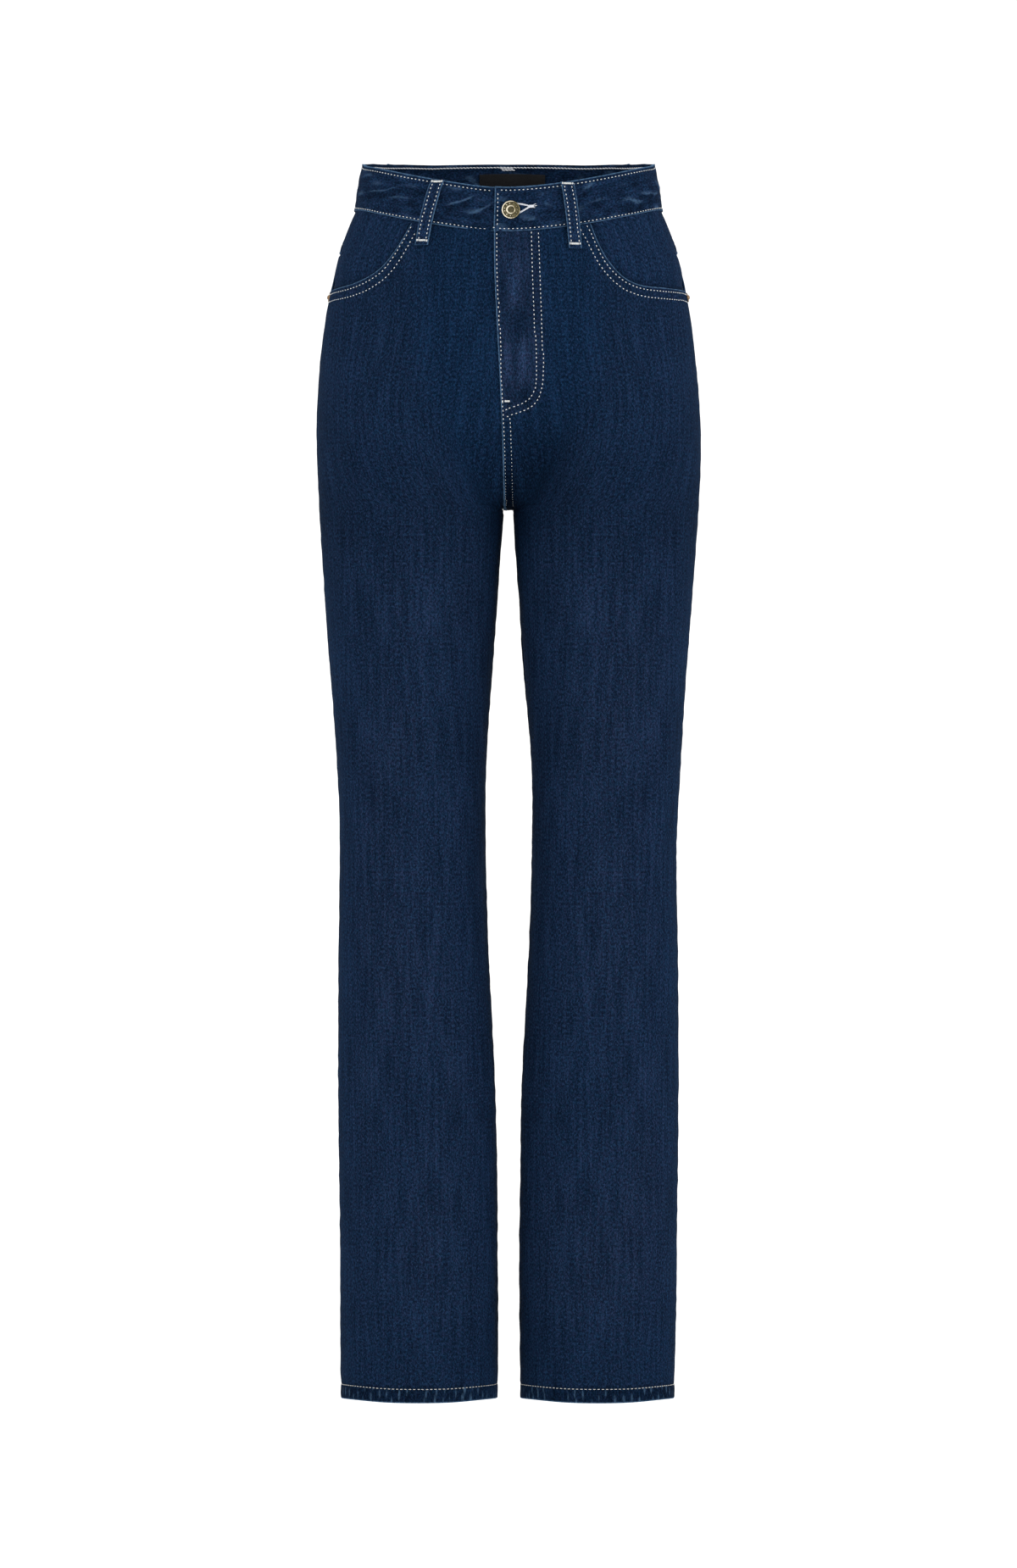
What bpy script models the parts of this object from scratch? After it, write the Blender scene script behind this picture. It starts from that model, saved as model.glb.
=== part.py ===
"""Bootcut jeans, filled out and hollow, as the pieces that are cut and sewn together.

The front faces -Y, the wearer's left is +X and the waist opening's centre is the origin.
Every cut piece is a wall of cloth on one shared form. The form is a stack of rounded
sections: one ring round the hips, two rings round the legs, and a saddle at the crotch
where the ring turns into two.
"""

import math
from collections import namedtuple

import bmesh
import bpy
from mathutils import Matrix, Vector

MM = 0.001

# ----- driving dimensions, in millimetres -----
DENIM = 1.2                 # one layer of cloth
BAND_THICKNESS = 2.4        # the waistband is folded double
GAP = 0.3                   # clearance between neighbouring pieces
SEAM = 0.25                 # how far a panel's edge stops short of its seam line
BAND_GAP = 0.45             # clearance between the waistband and the panels below it
FACING_GAP = 1.3            # clearance between a front panel and the facing behind it
POCKET_GAP = 1.3            # clearance between a back panel and the pocket on it
BAND_HEIGHT = 40.0
SEAM_AT_SIDE = -21.0        # height of the waistband's lower edge at the side seams
FRONT_DIP = 26.0            # how much lower that edge is at the centre front
BACK_LIFT = 11.0            # how much higher it is at the centre back
DIP_POWER = 1.5
CROTCH = -292.0
FRONT_RISE = 170.0          # height over which the front turns from one ring into two
BACK_RISE = 190.0
FRONT_SEAM_POWER = 2.6      # how square the crotch seam turns under, seen from the side
BACK_SEAM_POWER = 2.3
SADDLE_REACH = 0.38         # share of a panel's width that the crotch saddle takes up
SADDLE_FILL = 0.46          # keeps the thighs round where one ring turns into two
HEM = -1097.0
YOKE_AT_CENTRE = -80.0
YOKE_AT_SIDE = -59.0

# The form: half widths and depths of the outer face of the cloth, from the middle plane.
Section = namedtuple("Section", "z outer inner front back power")
SECTIONS = (
    Section(z=32.0, outer=130.0, inner=4.5, front=86.0, back=92.5, power=2.20),
    Section(z=0.0, outer=135.5, inner=4.5, front=90.8, back=97.0, power=2.20),
    Section(z=-21.0, outer=139.2, inner=4.5, front=93.8, back=101.0, power=2.20),
    Section(z=-34.0, outer=144.6, inner=4.5, front=95.6, back=104.0, power=2.20),
    Section(z=-52.0, outer=150.5, inner=4.5, front=98.2, back=108.5, power=2.20),
    Section(z=-75.0, outer=156.5, inner=4.5, front=100.8, back=113.5, power=2.20),
    Section(z=-121.0, outer=165.5, inner=4.5, front=104.2, back=121.0, power=2.20),
    Section(z=-168.0, outer=171.2, inner=4.5, front=105.2, back=125.5, power=2.18),
    Section(z=-229.0, outer=174.2, inner=4.5, front=102.5, back=124.0, power=2.16),
    Section(z=-292.0, outer=172.5, inner=4.5, front=97.0, back=112.0, power=2.12),
    Section(z=-337.0, outer=169.7, inner=7.2, front=93.0, back=103.0, power=2.10),
    Section(z=-398.0, outer=164.9, inner=11.6, front=87.5, back=94.0, power=2.10),
    Section(z=-460.0, outer=159.7, inner=16.3, front=81.5, back=87.0, power=2.10),
    Section(z=-522.0, outer=155.3, inner=20.6, front=75.8, back=80.0, power=2.10),
    Section(z=-583.0, outer=152.9, inner=21.5, front=71.0, back=74.0, power=2.10),
    Section(z=-645.0, outer=153.2, inner=20.4, front=68.4, back=71.5, power=2.10),
    Section(z=-737.0, outer=154.0, inner=16.5, front=68.0, back=72.0, power=2.10),
    Section(z=-830.0, outer=154.0, inner=12.1, front=69.0, back=73.5, power=2.10),
    Section(z=-922.0, outer=153.3, inner=10.6, front=70.2, back=75.0, power=2.10),
    Section(z=-1015.0, outer=152.5, inner=10.2, front=71.4, back=76.2, power=2.10),
    Section(z=-1097.0, outer=151.1, inner=10.5, front=72.4, back=77.2, power=2.10),
)

# The curved front pocket mouths, from the waistband to the side seam. The left one hangs wider.
Mouth = namedtuple("Mouth", "across z")         # across is a share of the half width
RIGHT_MOUTH = (
    Mouth(across=0.593, z=-37.0),
    Mouth(across=0.657, z=-61.0),
    Mouth(across=0.733, z=-78.5),
    Mouth(across=0.853, z=-89.8),
    Mouth(across=1.000, z=-94.5),
)
LEFT_MOUTH = (
    Mouth(across=0.500, z=-37.0),
    Mouth(across=0.531, z=-55.9),
    Mouth(across=0.574, z=-71.8),
    Mouth(across=0.651, z=-86.7),
    Mouth(across=0.741, z=-93.2),
    Mouth(across=0.870, z=-94.4),
    Mouth(across=1.000, z=-94.5),
)
FACING_UNDER = 14.0         # how far the facing runs on behind the front panel
FACING_BEFORE = 0.045       # share of the half width by which it starts before the mouth
FACING_ROWS = 7

# The fly's edge: how far the left front reaches past the middle.
Lap = namedtuple("Lap", "z reach")
FLY_LAP = (
    Lap(z=-20.0, reach=12.7),
    Lap(z=-83.0, reach=12.5),
    Lap(z=-182.0, reach=7.6),
    Lap(z=-235.0, reach=5.4),
    Lap(z=-292.0, reach=0.15),
)
UNDERLAP = 8.0              # how far the right front runs on under the left one
UNDERLAP_END = -188.0
UNDERLAP_DROP = 1.8         # how deep it lies under the left front
UNDERLAP_FADE = 30.0        # height below its end over which the right front comes up again
NEAR_FLY = (0.042, 0.088, 0.18, 0.28)       # shares of the front's width, beside the fly
BAND_UNDERLAP_DEGREES = 6.0
BAND_STEPS = 60             # columns of points round the waistband
BAND_SINK_DEGREES = 12.0    # stretch over which the right end sinks under the left one

# Rows and columns of points in the panels.
EDGE_ROWS = 5               # from the top edge to where the saddle starts
FRONT_CROTCH_ROWS = 10
BACK_CROTCH_ROWS = 10
BACK_COLUMNS = 13
LEG_LEVELS = (-296.0, -306.0, -328.0, -362.0, -408.0, -458.0, -510.0, -562.0, -615.0,
              -680.0, -760.0, -850.0, -945.0, -1035.0, HEM)

# Back pockets: each edge's distance from the centre back seam, along the cloth.
PocketEdge = namedtuple("PocketEdge", "inner outer")
POCKET_UPPER = PocketEdge(inner=34.0, outer=176.0)
POCKET_LOWER = PocketEdge(inner=44.0, outer=170.0)
POCKET_DROP = 130.0         # from the top to the lower corners
POCKET_TOP = -102.0
POCKET_TILT = 10.0          # the pocket's top is this much higher at its outer corner
POCKET_POINT = 24.0         # how far the middle of the lower edge hangs below its corners
POCKET_COLUMNS = 10
POCKET_ROWS = 8

# Belt loops: places are distances from the middle plane.
Loop = namedtuple("Loop", "name face top bottom")
LOOPS = (
    Loop(name="belt_loop_front_left", face=-1, top=52.0, bottom=59.5),
    Loop(name="belt_loop_front_right", face=-1, top=-62.8, bottom=-77.5),
    Loop(name="belt_loop_side_left", face=1, top=104.0, bottom=106.0),
    Loop(name="belt_loop_side_right", face=1, top=-104.0, bottom=-106.0),
    Loop(name="belt_loop_back", face=1, top=0.0, bottom=0.0),
)
LOOP_WIDTH = 12.0
# Outline of a loop from the side: out is from the cloth, up is from the band's top edge.
LoopPoint = namedtuple("LoopPoint", "out up")
LOOP_OUTLINE = (
    LoopPoint(out=1.6, up=0.8), LoopPoint(out=4.4, up=0.8), LoopPoint(out=5.3, up=-5.0),
    LoopPoint(out=6.4, up=-18.0), LoopPoint(out=6.4, up=-36.0), LoopPoint(out=4.4, up=-49.0),
    LoopPoint(out=3.4, up=-60.0), LoopPoint(out=0.5, up=-60.0), LoopPoint(out=0.5, up=-51.5),
    LoopPoint(out=2.1, up=-49.5), LoopPoint(out=4.7, up=-36.0), LoopPoint(out=4.7, up=-18.0),
    LoopPoint(out=3.2, up=-8.5), LoopPoint(out=1.6, up=-7.0),
)

BUTTON_ACROSS = 2.1
BUTTON_HEIGHT = -27.4
BUTTON_RADIUS = 8.6
BUTTON_LIFT = 0.5           # clearance under the cap and over the tack
POST_RADIUS = 1.6
BUTTONHOLE_LENGTH = 19.0
BUTTONHOLE_HEIGHT = 3.9
RIVET_HEIGHT = -100.0
RIVET_PLACE = 0.955         # share of the front panel's width
RIVET_RADIUS = 4.3
RIVET_POST_RADIUS = 1.3

LABEL_FROM = -27.0
LABEL_TO = 34.0
LABEL_BELOW_TOP = 9.0
LABEL_HEIGHT = 27.0
LABEL_THICKNESS = 0.6

FRONT = -1
BACK = 1
LEFT = 1
RIGHT = -1


# ----- the form -----
def mix(a, b, share):
    return a + (b - a) * share


def ease(share):
    share = min(max(share, 0.0), 1.0)
    return share * share * (3.0 - 2.0 * share)


def curve_through(places, values, place):
    """A smooth curve through values at rising places, read at one place."""
    last = len(places) - 1
    place = min(max(place, places[0]), places[last])
    index = 0
    while index < last - 1 and place > places[index + 1]:
        index += 1

    def slope(i):
        low = max(i - 1, 0)
        high = min(i + 1, last)
        return (values[high] - values[low]) / (places[high] - places[low])

    length = places[index + 1] - places[index]
    t = (place - places[index]) / length
    start = (2.0 * t ** 3 - 3.0 * t ** 2 + 1.0) * values[index]
    end = (3.0 * t ** 2 - 2.0 * t ** 3) * values[index + 1]
    leaving = (t ** 3 - 2.0 * t ** 2 + t) * length * slope(index)
    arriving = (t ** 3 - t ** 2) * length * slope(index + 1)
    return start + end + leaving + arriving


def column(table, name, z):
    """One column of a table that has a row for each height, read at any height."""
    rows = sorted(table, key=lambda row: row.z)
    return curve_through([row.z for row in rows], [getattr(row, name) for row in rows], z)


def section(z):
    return Section(z, *(column(SECTIONS, name, z) for name in Section._fields[1:]))


def signed_power(value, power):
    return math.copysign(abs(value) ** power, value)


def depth(form, face):
    return form.front if face == FRONT else form.back


def body_point(form, u, face):
    """A point of the ring round the hips: u is 0 at the middle and 1 at the side seam."""
    angle = u * math.pi / 2.0
    power = 2.0 / form.power
    x = form.outer * signed_power(math.sin(angle), power)
    y = face * depth(form, face) * max(math.cos(angle), 0.0) ** power
    return Vector((x, y, form.z))


def leg_point(form, u, face):
    """A point of the ring round a leg: u is 0 at the inseam and 1 at the side seam."""
    angle = (2.0 * u - 1.0) * math.pi / 2.0
    power = 2.0 / form.power
    middle = (form.outer + form.inner) / 2.0
    half = (form.outer - form.inner) / 2.0
    x = middle + half * signed_power(math.sin(angle), power)
    y = face * depth(form, face) * max(math.cos(angle), 0.0) ** power
    return Vector((x, y, form.z))


def rise_of(face):
    return FRONT_RISE if face == FRONT else BACK_RISE


def seam_turn(t, face):
    """How far the crotch seam has gone down and in, as shares, at a step t of its turn."""
    power = 2.0 / (FRONT_SEAM_POWER if face == FRONT else BACK_SEAM_POWER)
    angle = t * math.pi / 2.0
    return math.sin(angle) ** power, 1.0 - max(math.cos(angle), 0.0) ** power


def crotch_height(u, t, face):
    down, _ = seam_turn(t, face)
    near_seam = CROTCH + rise_of(face) * (1.0 - down)
    away = CROTCH + rise_of(face) * (1.0 - t)
    return mix(near_seam, away, ease(u / SADDLE_REACH))


def crotch_point(u, t, face):
    """A point of the saddle: t is 0 where it starts in the body and 1 at the crotch."""
    _, inward = seam_turn(t, face)
    clear_of_seam = ease(u / SADDLE_REACH)
    share = mix(inward, ease(t), clear_of_seam)
    form = section(crotch_height(u, t, face))
    point = body_point(form, u, face).lerp(leg_point(form, u, face), share)
    point.y *= 1.0 + clear_of_seam * SADDLE_FILL * share * (1.0 - share)
    return point


def form_point(u, z, face):
    """The point of the form at a share u of a panel's width and at a height."""
    if z >= CROTCH + rise_of(face):
        return body_point(section(z), u, face)
    if z <= CROTCH:
        return leg_point(section(z), u, face)
    low, high = 0.0, 1.0
    for _ in range(24):
        middle = (low + high) / 2.0
        if crotch_height(u, middle, face) > z:
            low = middle
        else:
            high = middle
    return crotch_point(u, low, face)


def share_at(x, z):
    """The share u at which the ring round the hips lies x from the middle plane."""
    form = section(z)
    across = min(abs(x) / form.outer, 1.0)
    return math.asin(across ** (form.power / 2.0)) * 2.0 / math.pi


def hip_point(x, z, face):
    """The point of the ring round the hips at a distance from the middle, either side."""
    point = body_point(section(z), share_at(x, z), face)
    point.x = math.copysign(point.x, x)
    return point


def outward(x, z, face):
    across = hip_point(x + 1.0, z, face) - hip_point(x - 1.0, z, face)
    up = hip_point(x, z + 1.0, face) - hip_point(x, z - 1.0, face)
    normal = across.cross(up).normalized()
    return normal if normal.y * face > 0.0 else -normal


def share_along(length, z, face):
    """The share u at a distance along the cloth from the centre back or front."""
    steps = 90
    travelled = 0.0
    before = form_point(0.0, z, face)
    for step in range(1, steps + 1):
        point = form_point(step / steps, z, face)
        travelled += (point - before).length
        if travelled >= length:
            return step / steps
        before = point
    return 1.0


def waist_seam(u, face):
    """Height of the waistband's lower edge."""
    dip = 1.0 - math.sin(min(u, 1.0) * math.pi / 2.0) ** DIP_POWER
    return SEAM_AT_SIDE + (-FRONT_DIP if face == FRONT else BACK_LIFT) * dip


def pocket_mouth(side):
    return LEFT_MOUTH if side == LEFT else RIGHT_MOUTH


def mouth_height(u, side):
    """Height of the pocket mouth's folded edge over the front panel."""
    across = math.sin(min(u, 1.0) * math.pi / 2.0) ** (2.0 / SECTIONS[0].power)
    places = [row.across for row in pocket_mouth(side)]
    return curve_through(places, [row.z for row in pocket_mouth(side)], across)


def mouth_start(side):
    across = pocket_mouth(side)[0].across
    return math.asin(across ** (SECTIONS[0].power / 2.0)) * 2.0 / math.pi


def lap_reach(z):
    return column(FLY_LAP, "reach", z)


# ----- building -----
def material(name, colour, roughness, metallic=0.0):
    made = bpy.data.materials.new(name)
    made.use_nodes = True
    shader = made.node_tree.nodes["Principled BSDF"]
    shader.inputs["Base Color"].default_value = (*colour, 1.0)
    shader.inputs["Roughness"].default_value = roughness
    shader.inputs["Metallic"].default_value = metallic
    return made


def new_object(name, mesh, finish, collection):
    made = bpy.data.objects.new(name, mesh)
    mesh.materials.append(finish)
    collection.objects.link(made)
    return made


def sheet_mesh(name, grid, side, face, moved):
    """An open sheet over a grid of points of the +X half, moved along its own normals."""
    mesh = bpy.data.meshes.new(name)
    shape = bmesh.new()
    rows = [[shape.verts.new((side * p.x * MM, p.y * MM, p.z * MM)) for p in row] for row in grid]
    for upper, lower in zip(rows, rows[1:]):
        for j in range(len(upper) - 1):
            corners = [upper[j], lower[j], lower[j + 1], upper[j + 1]]
            if side * face > 0:
                corners.reverse()
            shape.faces.new(corners)
    shape.normal_update()
    normals = [[vertex.normal.copy() for vertex in row] for row in rows]
    for i, row in enumerate(rows):
        for j, vertex in enumerate(row):
            vertex.co += normals[i][j] * moved(i, j) * MM
    shape.to_mesh(mesh)
    shape.free()
    return mesh


def cloth(name, grid, side, face, finish, collection, thickness=DENIM, moved=lambda i, j: 0.0):
    """A piece of cloth whose outer face runs through a grid of points."""
    made = new_object(name, sheet_mesh(name, grid, side, face, moved), finish, collection)
    wall = made.modifiers.new("Wall", "SOLIDIFY")
    wall.thickness = thickness * MM
    wall.offset = -1.0
    wall.use_even_offset = True
    return made


def turned(name, profile, sides, finish, collection):
    """A turned piece from a profile of radius and height, listed from the top down."""
    mesh = bpy.data.meshes.new(name)
    points = [(radius * MM, 0.0, height * MM) for radius, height in profile]
    mesh.from_pydata(points, [(i, i + 1) for i in range(len(points) - 1)], [])
    made = new_object(name, mesh, finish, collection)
    turn = made.modifiers.new("Turn", "SCREW")
    turn.steps = sides
    turn.render_steps = sides
    turn.use_merge_vertices = True
    turn.merge_threshold = 0.00001
    return made


def stand_on(made, point, normal):
    """Puts a turned piece's foot at a point, with its axis along a normal."""
    turn = Vector((0.0, 0.0, 1.0)).rotation_difference(normal)
    made.matrix_world = Matrix.Translation(point * MM) @ turn.to_matrix().to_4x4()


def cut(made, cutter):
    hole = made.modifiers.new("Hole", "BOOLEAN")
    hole.object = cutter
    hole.operation = "DIFFERENCE"
    hole.solver = "EXACT"


def make_cutter(made):
    made.hide_render = True
    made.display_type = "WIRE"
    return made


# ----- panels -----
def main_shares(side):
    """Shares of the front panel's width, closer where the fly and the mouth bend it."""
    start = mouth_start(side)
    along_mouth = [mix(start, 1.0, step / 7.0) for step in range(8)]
    return list(NEAR_FLY) + along_mouth


def front_top(u, side):
    """Height of a front panel's top edge: the waist seam, then the pocket mouth."""
    if u <= mouth_start(side) + 0.000001:
        return waist_seam(u, FRONT) - BAND_GAP
    return mouth_height(u, side)


def front_reach(side, z):
    """How far a front panel's edge lies past the middle plane at the fly."""
    if side == LEFT:
        return lap_reach(z)
    if z >= UNDERLAP_END:
        return UNDERLAP
    return -lap_reach(z) - GAP


def front_grid(side):
    """Points of a front panel, and how far each is sunk to lie under the other at the fly."""
    saddle_top = CROTCH + FRONT_RISE
    shares = [0.0] + main_shares(side)
    grid = []
    for step in range(EDGE_ROWS):
        share = step / EDGE_ROWS
        grid.append([form_point(u, mix(front_top(u, side), saddle_top, share), FRONT)
                     for u in shares])
    for step in range(FRONT_CROTCH_ROWS + 1):
        t = step / FRONT_CROTCH_ROWS
        grid.append([crotch_point(u, t, FRONT) for u in shares])
    sunk = []
    for row in grid:
        edge = row[0]
        edge.x = -front_reach(side, edge.z)
        row.insert(1, edge.lerp(row[1], 0.5))
        depth_here = UNDERLAP_DROP * ease((edge.z - CROTCH) / (UNDERLAP_END - UNDERLAP_FADE - CROTCH))
        if side == LEFT:
            depth_here = 0.0
        sunk.append([depth_here, depth_here, depth_here] + [0.0] * (len(row) - 3))
    for corner in grid[-1][:2]:
        corner.y -= SEAM
    for z in LEG_LEVELS:
        row = [form_point(u, z, FRONT) for u in [0.0, NEAR_FLY[0] / 2.0] + shares[1:]]
        row[0].y -= SEAM
        grid.append(row)
        sunk.append([0.0] * len(row))
    for row in grid:
        row[-1].y = min(row[-1].y, -SEAM)
    return grid, sunk


def back_shares():
    return [step / BACK_COLUMNS for step in range(BACK_COLUMNS + 1)]


def yoke_seam(u):
    return mix(YOKE_AT_CENTRE, YOKE_AT_SIDE, u)


def back_grid():
    """Points of a back panel, from the yoke seam down to the hem."""
    saddle_top = CROTCH + BACK_RISE
    grid = []
    for share in (0.0, 0.5):
        grid.append([form_point(u, mix(yoke_seam(u) - SEAM, saddle_top, share), BACK)
                     for u in back_shares()])
    for step in range(BACK_CROTCH_ROWS + 1):
        t = step / BACK_CROTCH_ROWS
        grid.append([crotch_point(u, t, BACK) for u in back_shares()])
    for row in grid:
        row[0].x = SEAM
    grid[-1][0].y = SEAM
    for z in LEG_LEVELS:
        row = [form_point(u, z, BACK) for u in back_shares()]
        row[0].y = SEAM
        grid.append(row)
    for row in grid:
        row[-1].y = max(row[-1].y, SEAM)
    return grid


def yoke_grid():
    grid = []
    for step in range(4):
        share = step / 3.0
        row = []
        for u in back_shares():
            upper = waist_seam(u, BACK) - BAND_GAP
            lower = yoke_seam(u) + SEAM
            row.append(form_point(u, mix(upper, lower, share), BACK))
        row[0].x = SEAM
        row[-1].y = max(row[-1].y, SEAM)
        grid.append(row)
    return grid


def facing_grid(side):
    """Points of the denim behind a pocket mouth, and how deep each lies under the front."""
    start = mouth_start(side)
    shares = [start - FACING_BEFORE] + [mix(start, 1.0, step / 8.0) for step in range(9)]
    grid = []
    drops = []
    for step in range(FACING_ROWS + 1):
        row = []
        drop_row = []
        for u in shares:
            upper = waist_seam(u, FRONT) - BAND_GAP
            mouth = mouth_height(u, side) if u > start else upper
            lower = mouth - FACING_UNDER
            z = mix(upper, lower, step / FACING_ROWS)
            row.append(form_point(u, z, FRONT))
            clear = (z - mouth) if u > start else 0.0
            drop_row.append(-(DENIM + FACING_GAP) * (1.0 - ease((clear - 4.0) / 14.0)))
        row[-1].y = min(row[-1].y, -SEAM)
        grid.append(row)
        drops.append(drop_row)
    return grid, drops


def pocket_grid():
    """Points of a back pocket on the back panel."""
    grid = []
    for number in range(POCKET_ROWS + 1):
        down = number / POCKET_ROWS
        row = []
        for step in range(POCKET_COLUMNS + 1):
            across = step / POCKET_COLUMNS
            tilt = POCKET_TILT * (across - 0.5) * (1.0 - down)
            point = POCKET_POINT * (1.0 - abs(2.0 * across - 1.0)) * down
            z = POCKET_TOP - POCKET_DROP * down + tilt - point
            inner = mix(POCKET_UPPER.inner, POCKET_LOWER.inner, down)
            outer = mix(POCKET_UPPER.outer, POCKET_LOWER.outer, down)
            row.append(form_point(share_along(mix(inner, outer, across), z, BACK), z, BACK))
        grid.append(row)
    return grid


# ----- the waistband -----
def band_angles(lap):
    """Degrees round the waist, from the left end round the back to the end beneath it."""
    turns = [360.0 * step / BAND_STEPS for step in range(BAND_STEPS + 1)]
    return [-lap] + turns + [360.0 + BAND_UNDERLAP_DEGREES]


def band_place(angle):
    """Quarter, share and side of the ring round the waist at an angle from centre front."""
    angle = (angle + 180.0) % 360.0 - 180.0
    side = LEFT if angle >= 0.0 else RIGHT
    turn = abs(angle)
    if turn <= 90.0:
        return turn / 90.0, FRONT, side
    return (180.0 - turn) / 90.0, BACK, side


def band_point(angle, share):
    """A point of the waistband: share is 0 at its top edge and 1 at its lower edge."""
    u, face, side = band_place(angle)
    z = waist_seam(u, face) + BAND_HEIGHT * (1.0 - share)
    point = form_point(u, z, face)
    point.x *= side
    return point


def make_waistband(finish, collection):
    lap = share_at(lap_reach(SEAM_AT_SIDE), -30.0) * 90.0
    angles = band_angles(lap)
    grid = [[band_point(angle, share) for angle in angles] for share in (0.0, 0.5, 1.0)]
    beneath = 360.0 - 360.0 / BAND_STEPS

    def moved(i, j):
        angle = angles[j]
        sink = ease((angle - (beneath - BAND_SINK_DEGREES)) / BAND_SINK_DEGREES)
        return BAND_THICKNESS / 2.0 - (BAND_THICKNESS + GAP) * sink

    return cloth("waistband", grid, LEFT, FRONT, finish, collection, BAND_THICKNESS, moved)


# ----- loops, button, rivets, label -----
def make_loop(loop, finish, collection):
    """A belt loop: its outline from the side, carried across its width on the form."""
    shape = bmesh.new()
    lengthwise = LOOP_OUTLINE[0].up - LOOP_OUTLINE[6].up
    rings = []
    for across in (-0.5, 0.0, 0.5):
        ring = []
        for point in LOOP_OUTLINE:
            down = (LOOP_OUTLINE[0].up - point.up) / lengthwise
            x = mix(loop.top, loop.bottom, down) + across * LOOP_WIDTH
            middle = mix(loop.top, loop.bottom, down)
            u = share_at(middle, SEAM_AT_SIDE)
            z = waist_seam(u, loop.face) + BAND_HEIGHT + point.up
            place = hip_point(x, z, loop.face) + outward(x, z, loop.face) * point.out
            ring.append(shape.verts.new(place * MM))
        rings.append(ring)
    count = len(LOOP_OUTLINE)
    for first, second in zip(rings, rings[1:]):
        for i in range(count):
            shape.faces.new((first[i], first[(i + 1) % count],
                             second[(i + 1) % count], second[i]))
    shape.faces.new(rings[0][::-1])
    shape.faces.new(rings[-1])
    bmesh.ops.recalc_face_normals(shape, faces=shape.faces[:])
    mesh = bpy.data.meshes.new(loop.name)
    shape.to_mesh(mesh)
    shape.free()
    return new_object(loop.name, mesh, finish, collection)


def make_button(finish, collection):
    """A tack button whose post goes through both ends of the waistband."""
    outer = BAND_THICKNESS / 2.0 + BUTTON_LIFT
    inner = -(BAND_THICKNESS * 1.5 + GAP + BUTTON_LIFT)
    r = BUTTON_RADIUS
    profile = [
        (0.0, outer + 2.4), (r * 0.35, outer + 2.4), (r * 0.42, outer + 2.7),
        (r * 0.80, outer + 2.7), (r * 0.93, outer + 2.5), (r, outer + 1.8),
        (r, outer + 1.1), (r * 0.93, outer + 0.5), (r * 0.45, outer),
        (POST_RADIUS, outer), (POST_RADIUS, inner), (4.0, inner), (4.2, inner - 0.5),
        (3.6, inner - 1.0), (0.0, inner - 1.1),
    ]
    made = turned("button", profile, 24, finish, collection)
    normal = outward(BUTTON_ACROSS, BUTTON_HEIGHT, FRONT)
    stand_on(made, hip_point(BUTTON_ACROSS, BUTTON_HEIGHT, FRONT), normal)
    return made


def make_buttonhole_cutters(finish, collection):
    """A slot through the left end of the waistband, and the post's hole through both."""
    point = hip_point(BUTTON_ACROSS, BUTTON_HEIGHT, FRONT)
    normal = outward(BUTTON_ACROSS, BUTTON_HEIGHT, FRONT)
    layer = BAND_THICKNESS + GAP
    bpy.ops.mesh.primitive_cube_add(size=1.0)
    slot = bpy.context.object
    slot.name = "buttonhole_cutter"
    for owner in slot.users_collection:
        owner.objects.unlink(slot)
    collection.objects.link(slot)
    stand_on(slot, point, normal)
    ahead = Vector((BUTTONHOLE_LENGTH / 2.0 - BUTTONHOLE_HEIGHT / 2.0, 0.0, 0.0))
    lift = normal * (BAND_THICKNESS + GAP) / 2.0
    size = Matrix.Diagonal((BUTTONHOLE_LENGTH * MM, BUTTONHOLE_HEIGHT * MM, 2.0 * layer * MM, 1.0))
    slot.matrix_world = Matrix.Translation((ahead + lift) * MM) @ slot.matrix_world @ size

    radius = POST_RADIUS + GAP
    profile = [(0.0, layer), (radius, layer), (radius, -2.0 * layer), (0.0, -2.0 * layer)]
    post = turned("post_cutter", profile, 12, finish, collection)
    stand_on(post, point, normal)
    return [make_cutter(slot), make_cutter(post)]


def rivet_frame(side):
    place = form_point(RIVET_PLACE, RIVET_HEIGHT, FRONT)
    along = form_point(RIVET_PLACE + 0.01, RIVET_HEIGHT, FRONT) - place
    up = form_point(RIVET_PLACE, RIVET_HEIGHT + 1.0, FRONT) - place
    normal = along.cross(up).normalized()
    if normal.x < 0.0:
        normal = -normal
    place.x *= side
    normal.x *= side
    return place, normal


def make_rivet(side, name, finish, collection):
    burr = -(2.0 * DENIM + FACING_GAP + 0.6)
    r = RIVET_RADIUS
    profile = [
        (0.0, GAP + 2.6), (r * 0.28, GAP + 2.5), (r * 0.46, GAP + 2.0), (r * 0.52, GAP + 1.0),
        (r * 0.85, GAP + 0.8), (r, GAP + 0.4), (r * 0.96, GAP), (RIVET_POST_RADIUS, GAP),
        (RIVET_POST_RADIUS, burr), (3.4, burr), (3.4, burr - 0.7), (0.0, burr - 0.7),
    ]
    made = turned(name, profile, 16, finish, collection)
    place, normal = rivet_frame(side)
    stand_on(made, place, normal)
    return made


def make_rivet_cutter(side, name, finish, collection):
    radius = RIVET_POST_RADIUS + GAP
    profile = [(0.0, 2.0), (radius, 2.0), (radius, -8.0), (0.0, -8.0)]
    made = turned(name, profile, 12, finish, collection)
    place, normal = rivet_frame(side)
    stand_on(made, place, normal)
    return make_cutter(made)


def make_label(finish, collection):
    """A plain label on the inner face of the back waistband."""
    grid = []
    for step in range(3):
        row = []
        for place in range(7):
            x = mix(LABEL_FROM, LABEL_TO, place / 6.0)
            top = waist_seam(share_at(x, 0.0), BACK) + BAND_HEIGHT - LABEL_BELOW_TOP
            z = top - LABEL_HEIGHT * step / 2.0
            row.append(hip_point(x, z, BACK))
        grid.append(row)
    inside = -(BAND_THICKNESS / 2.0 + GAP)
    return cloth("label", grid, LEFT, BACK, finish, collection, LABEL_THICKNESS,
                 lambda i, j: inside)


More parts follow.
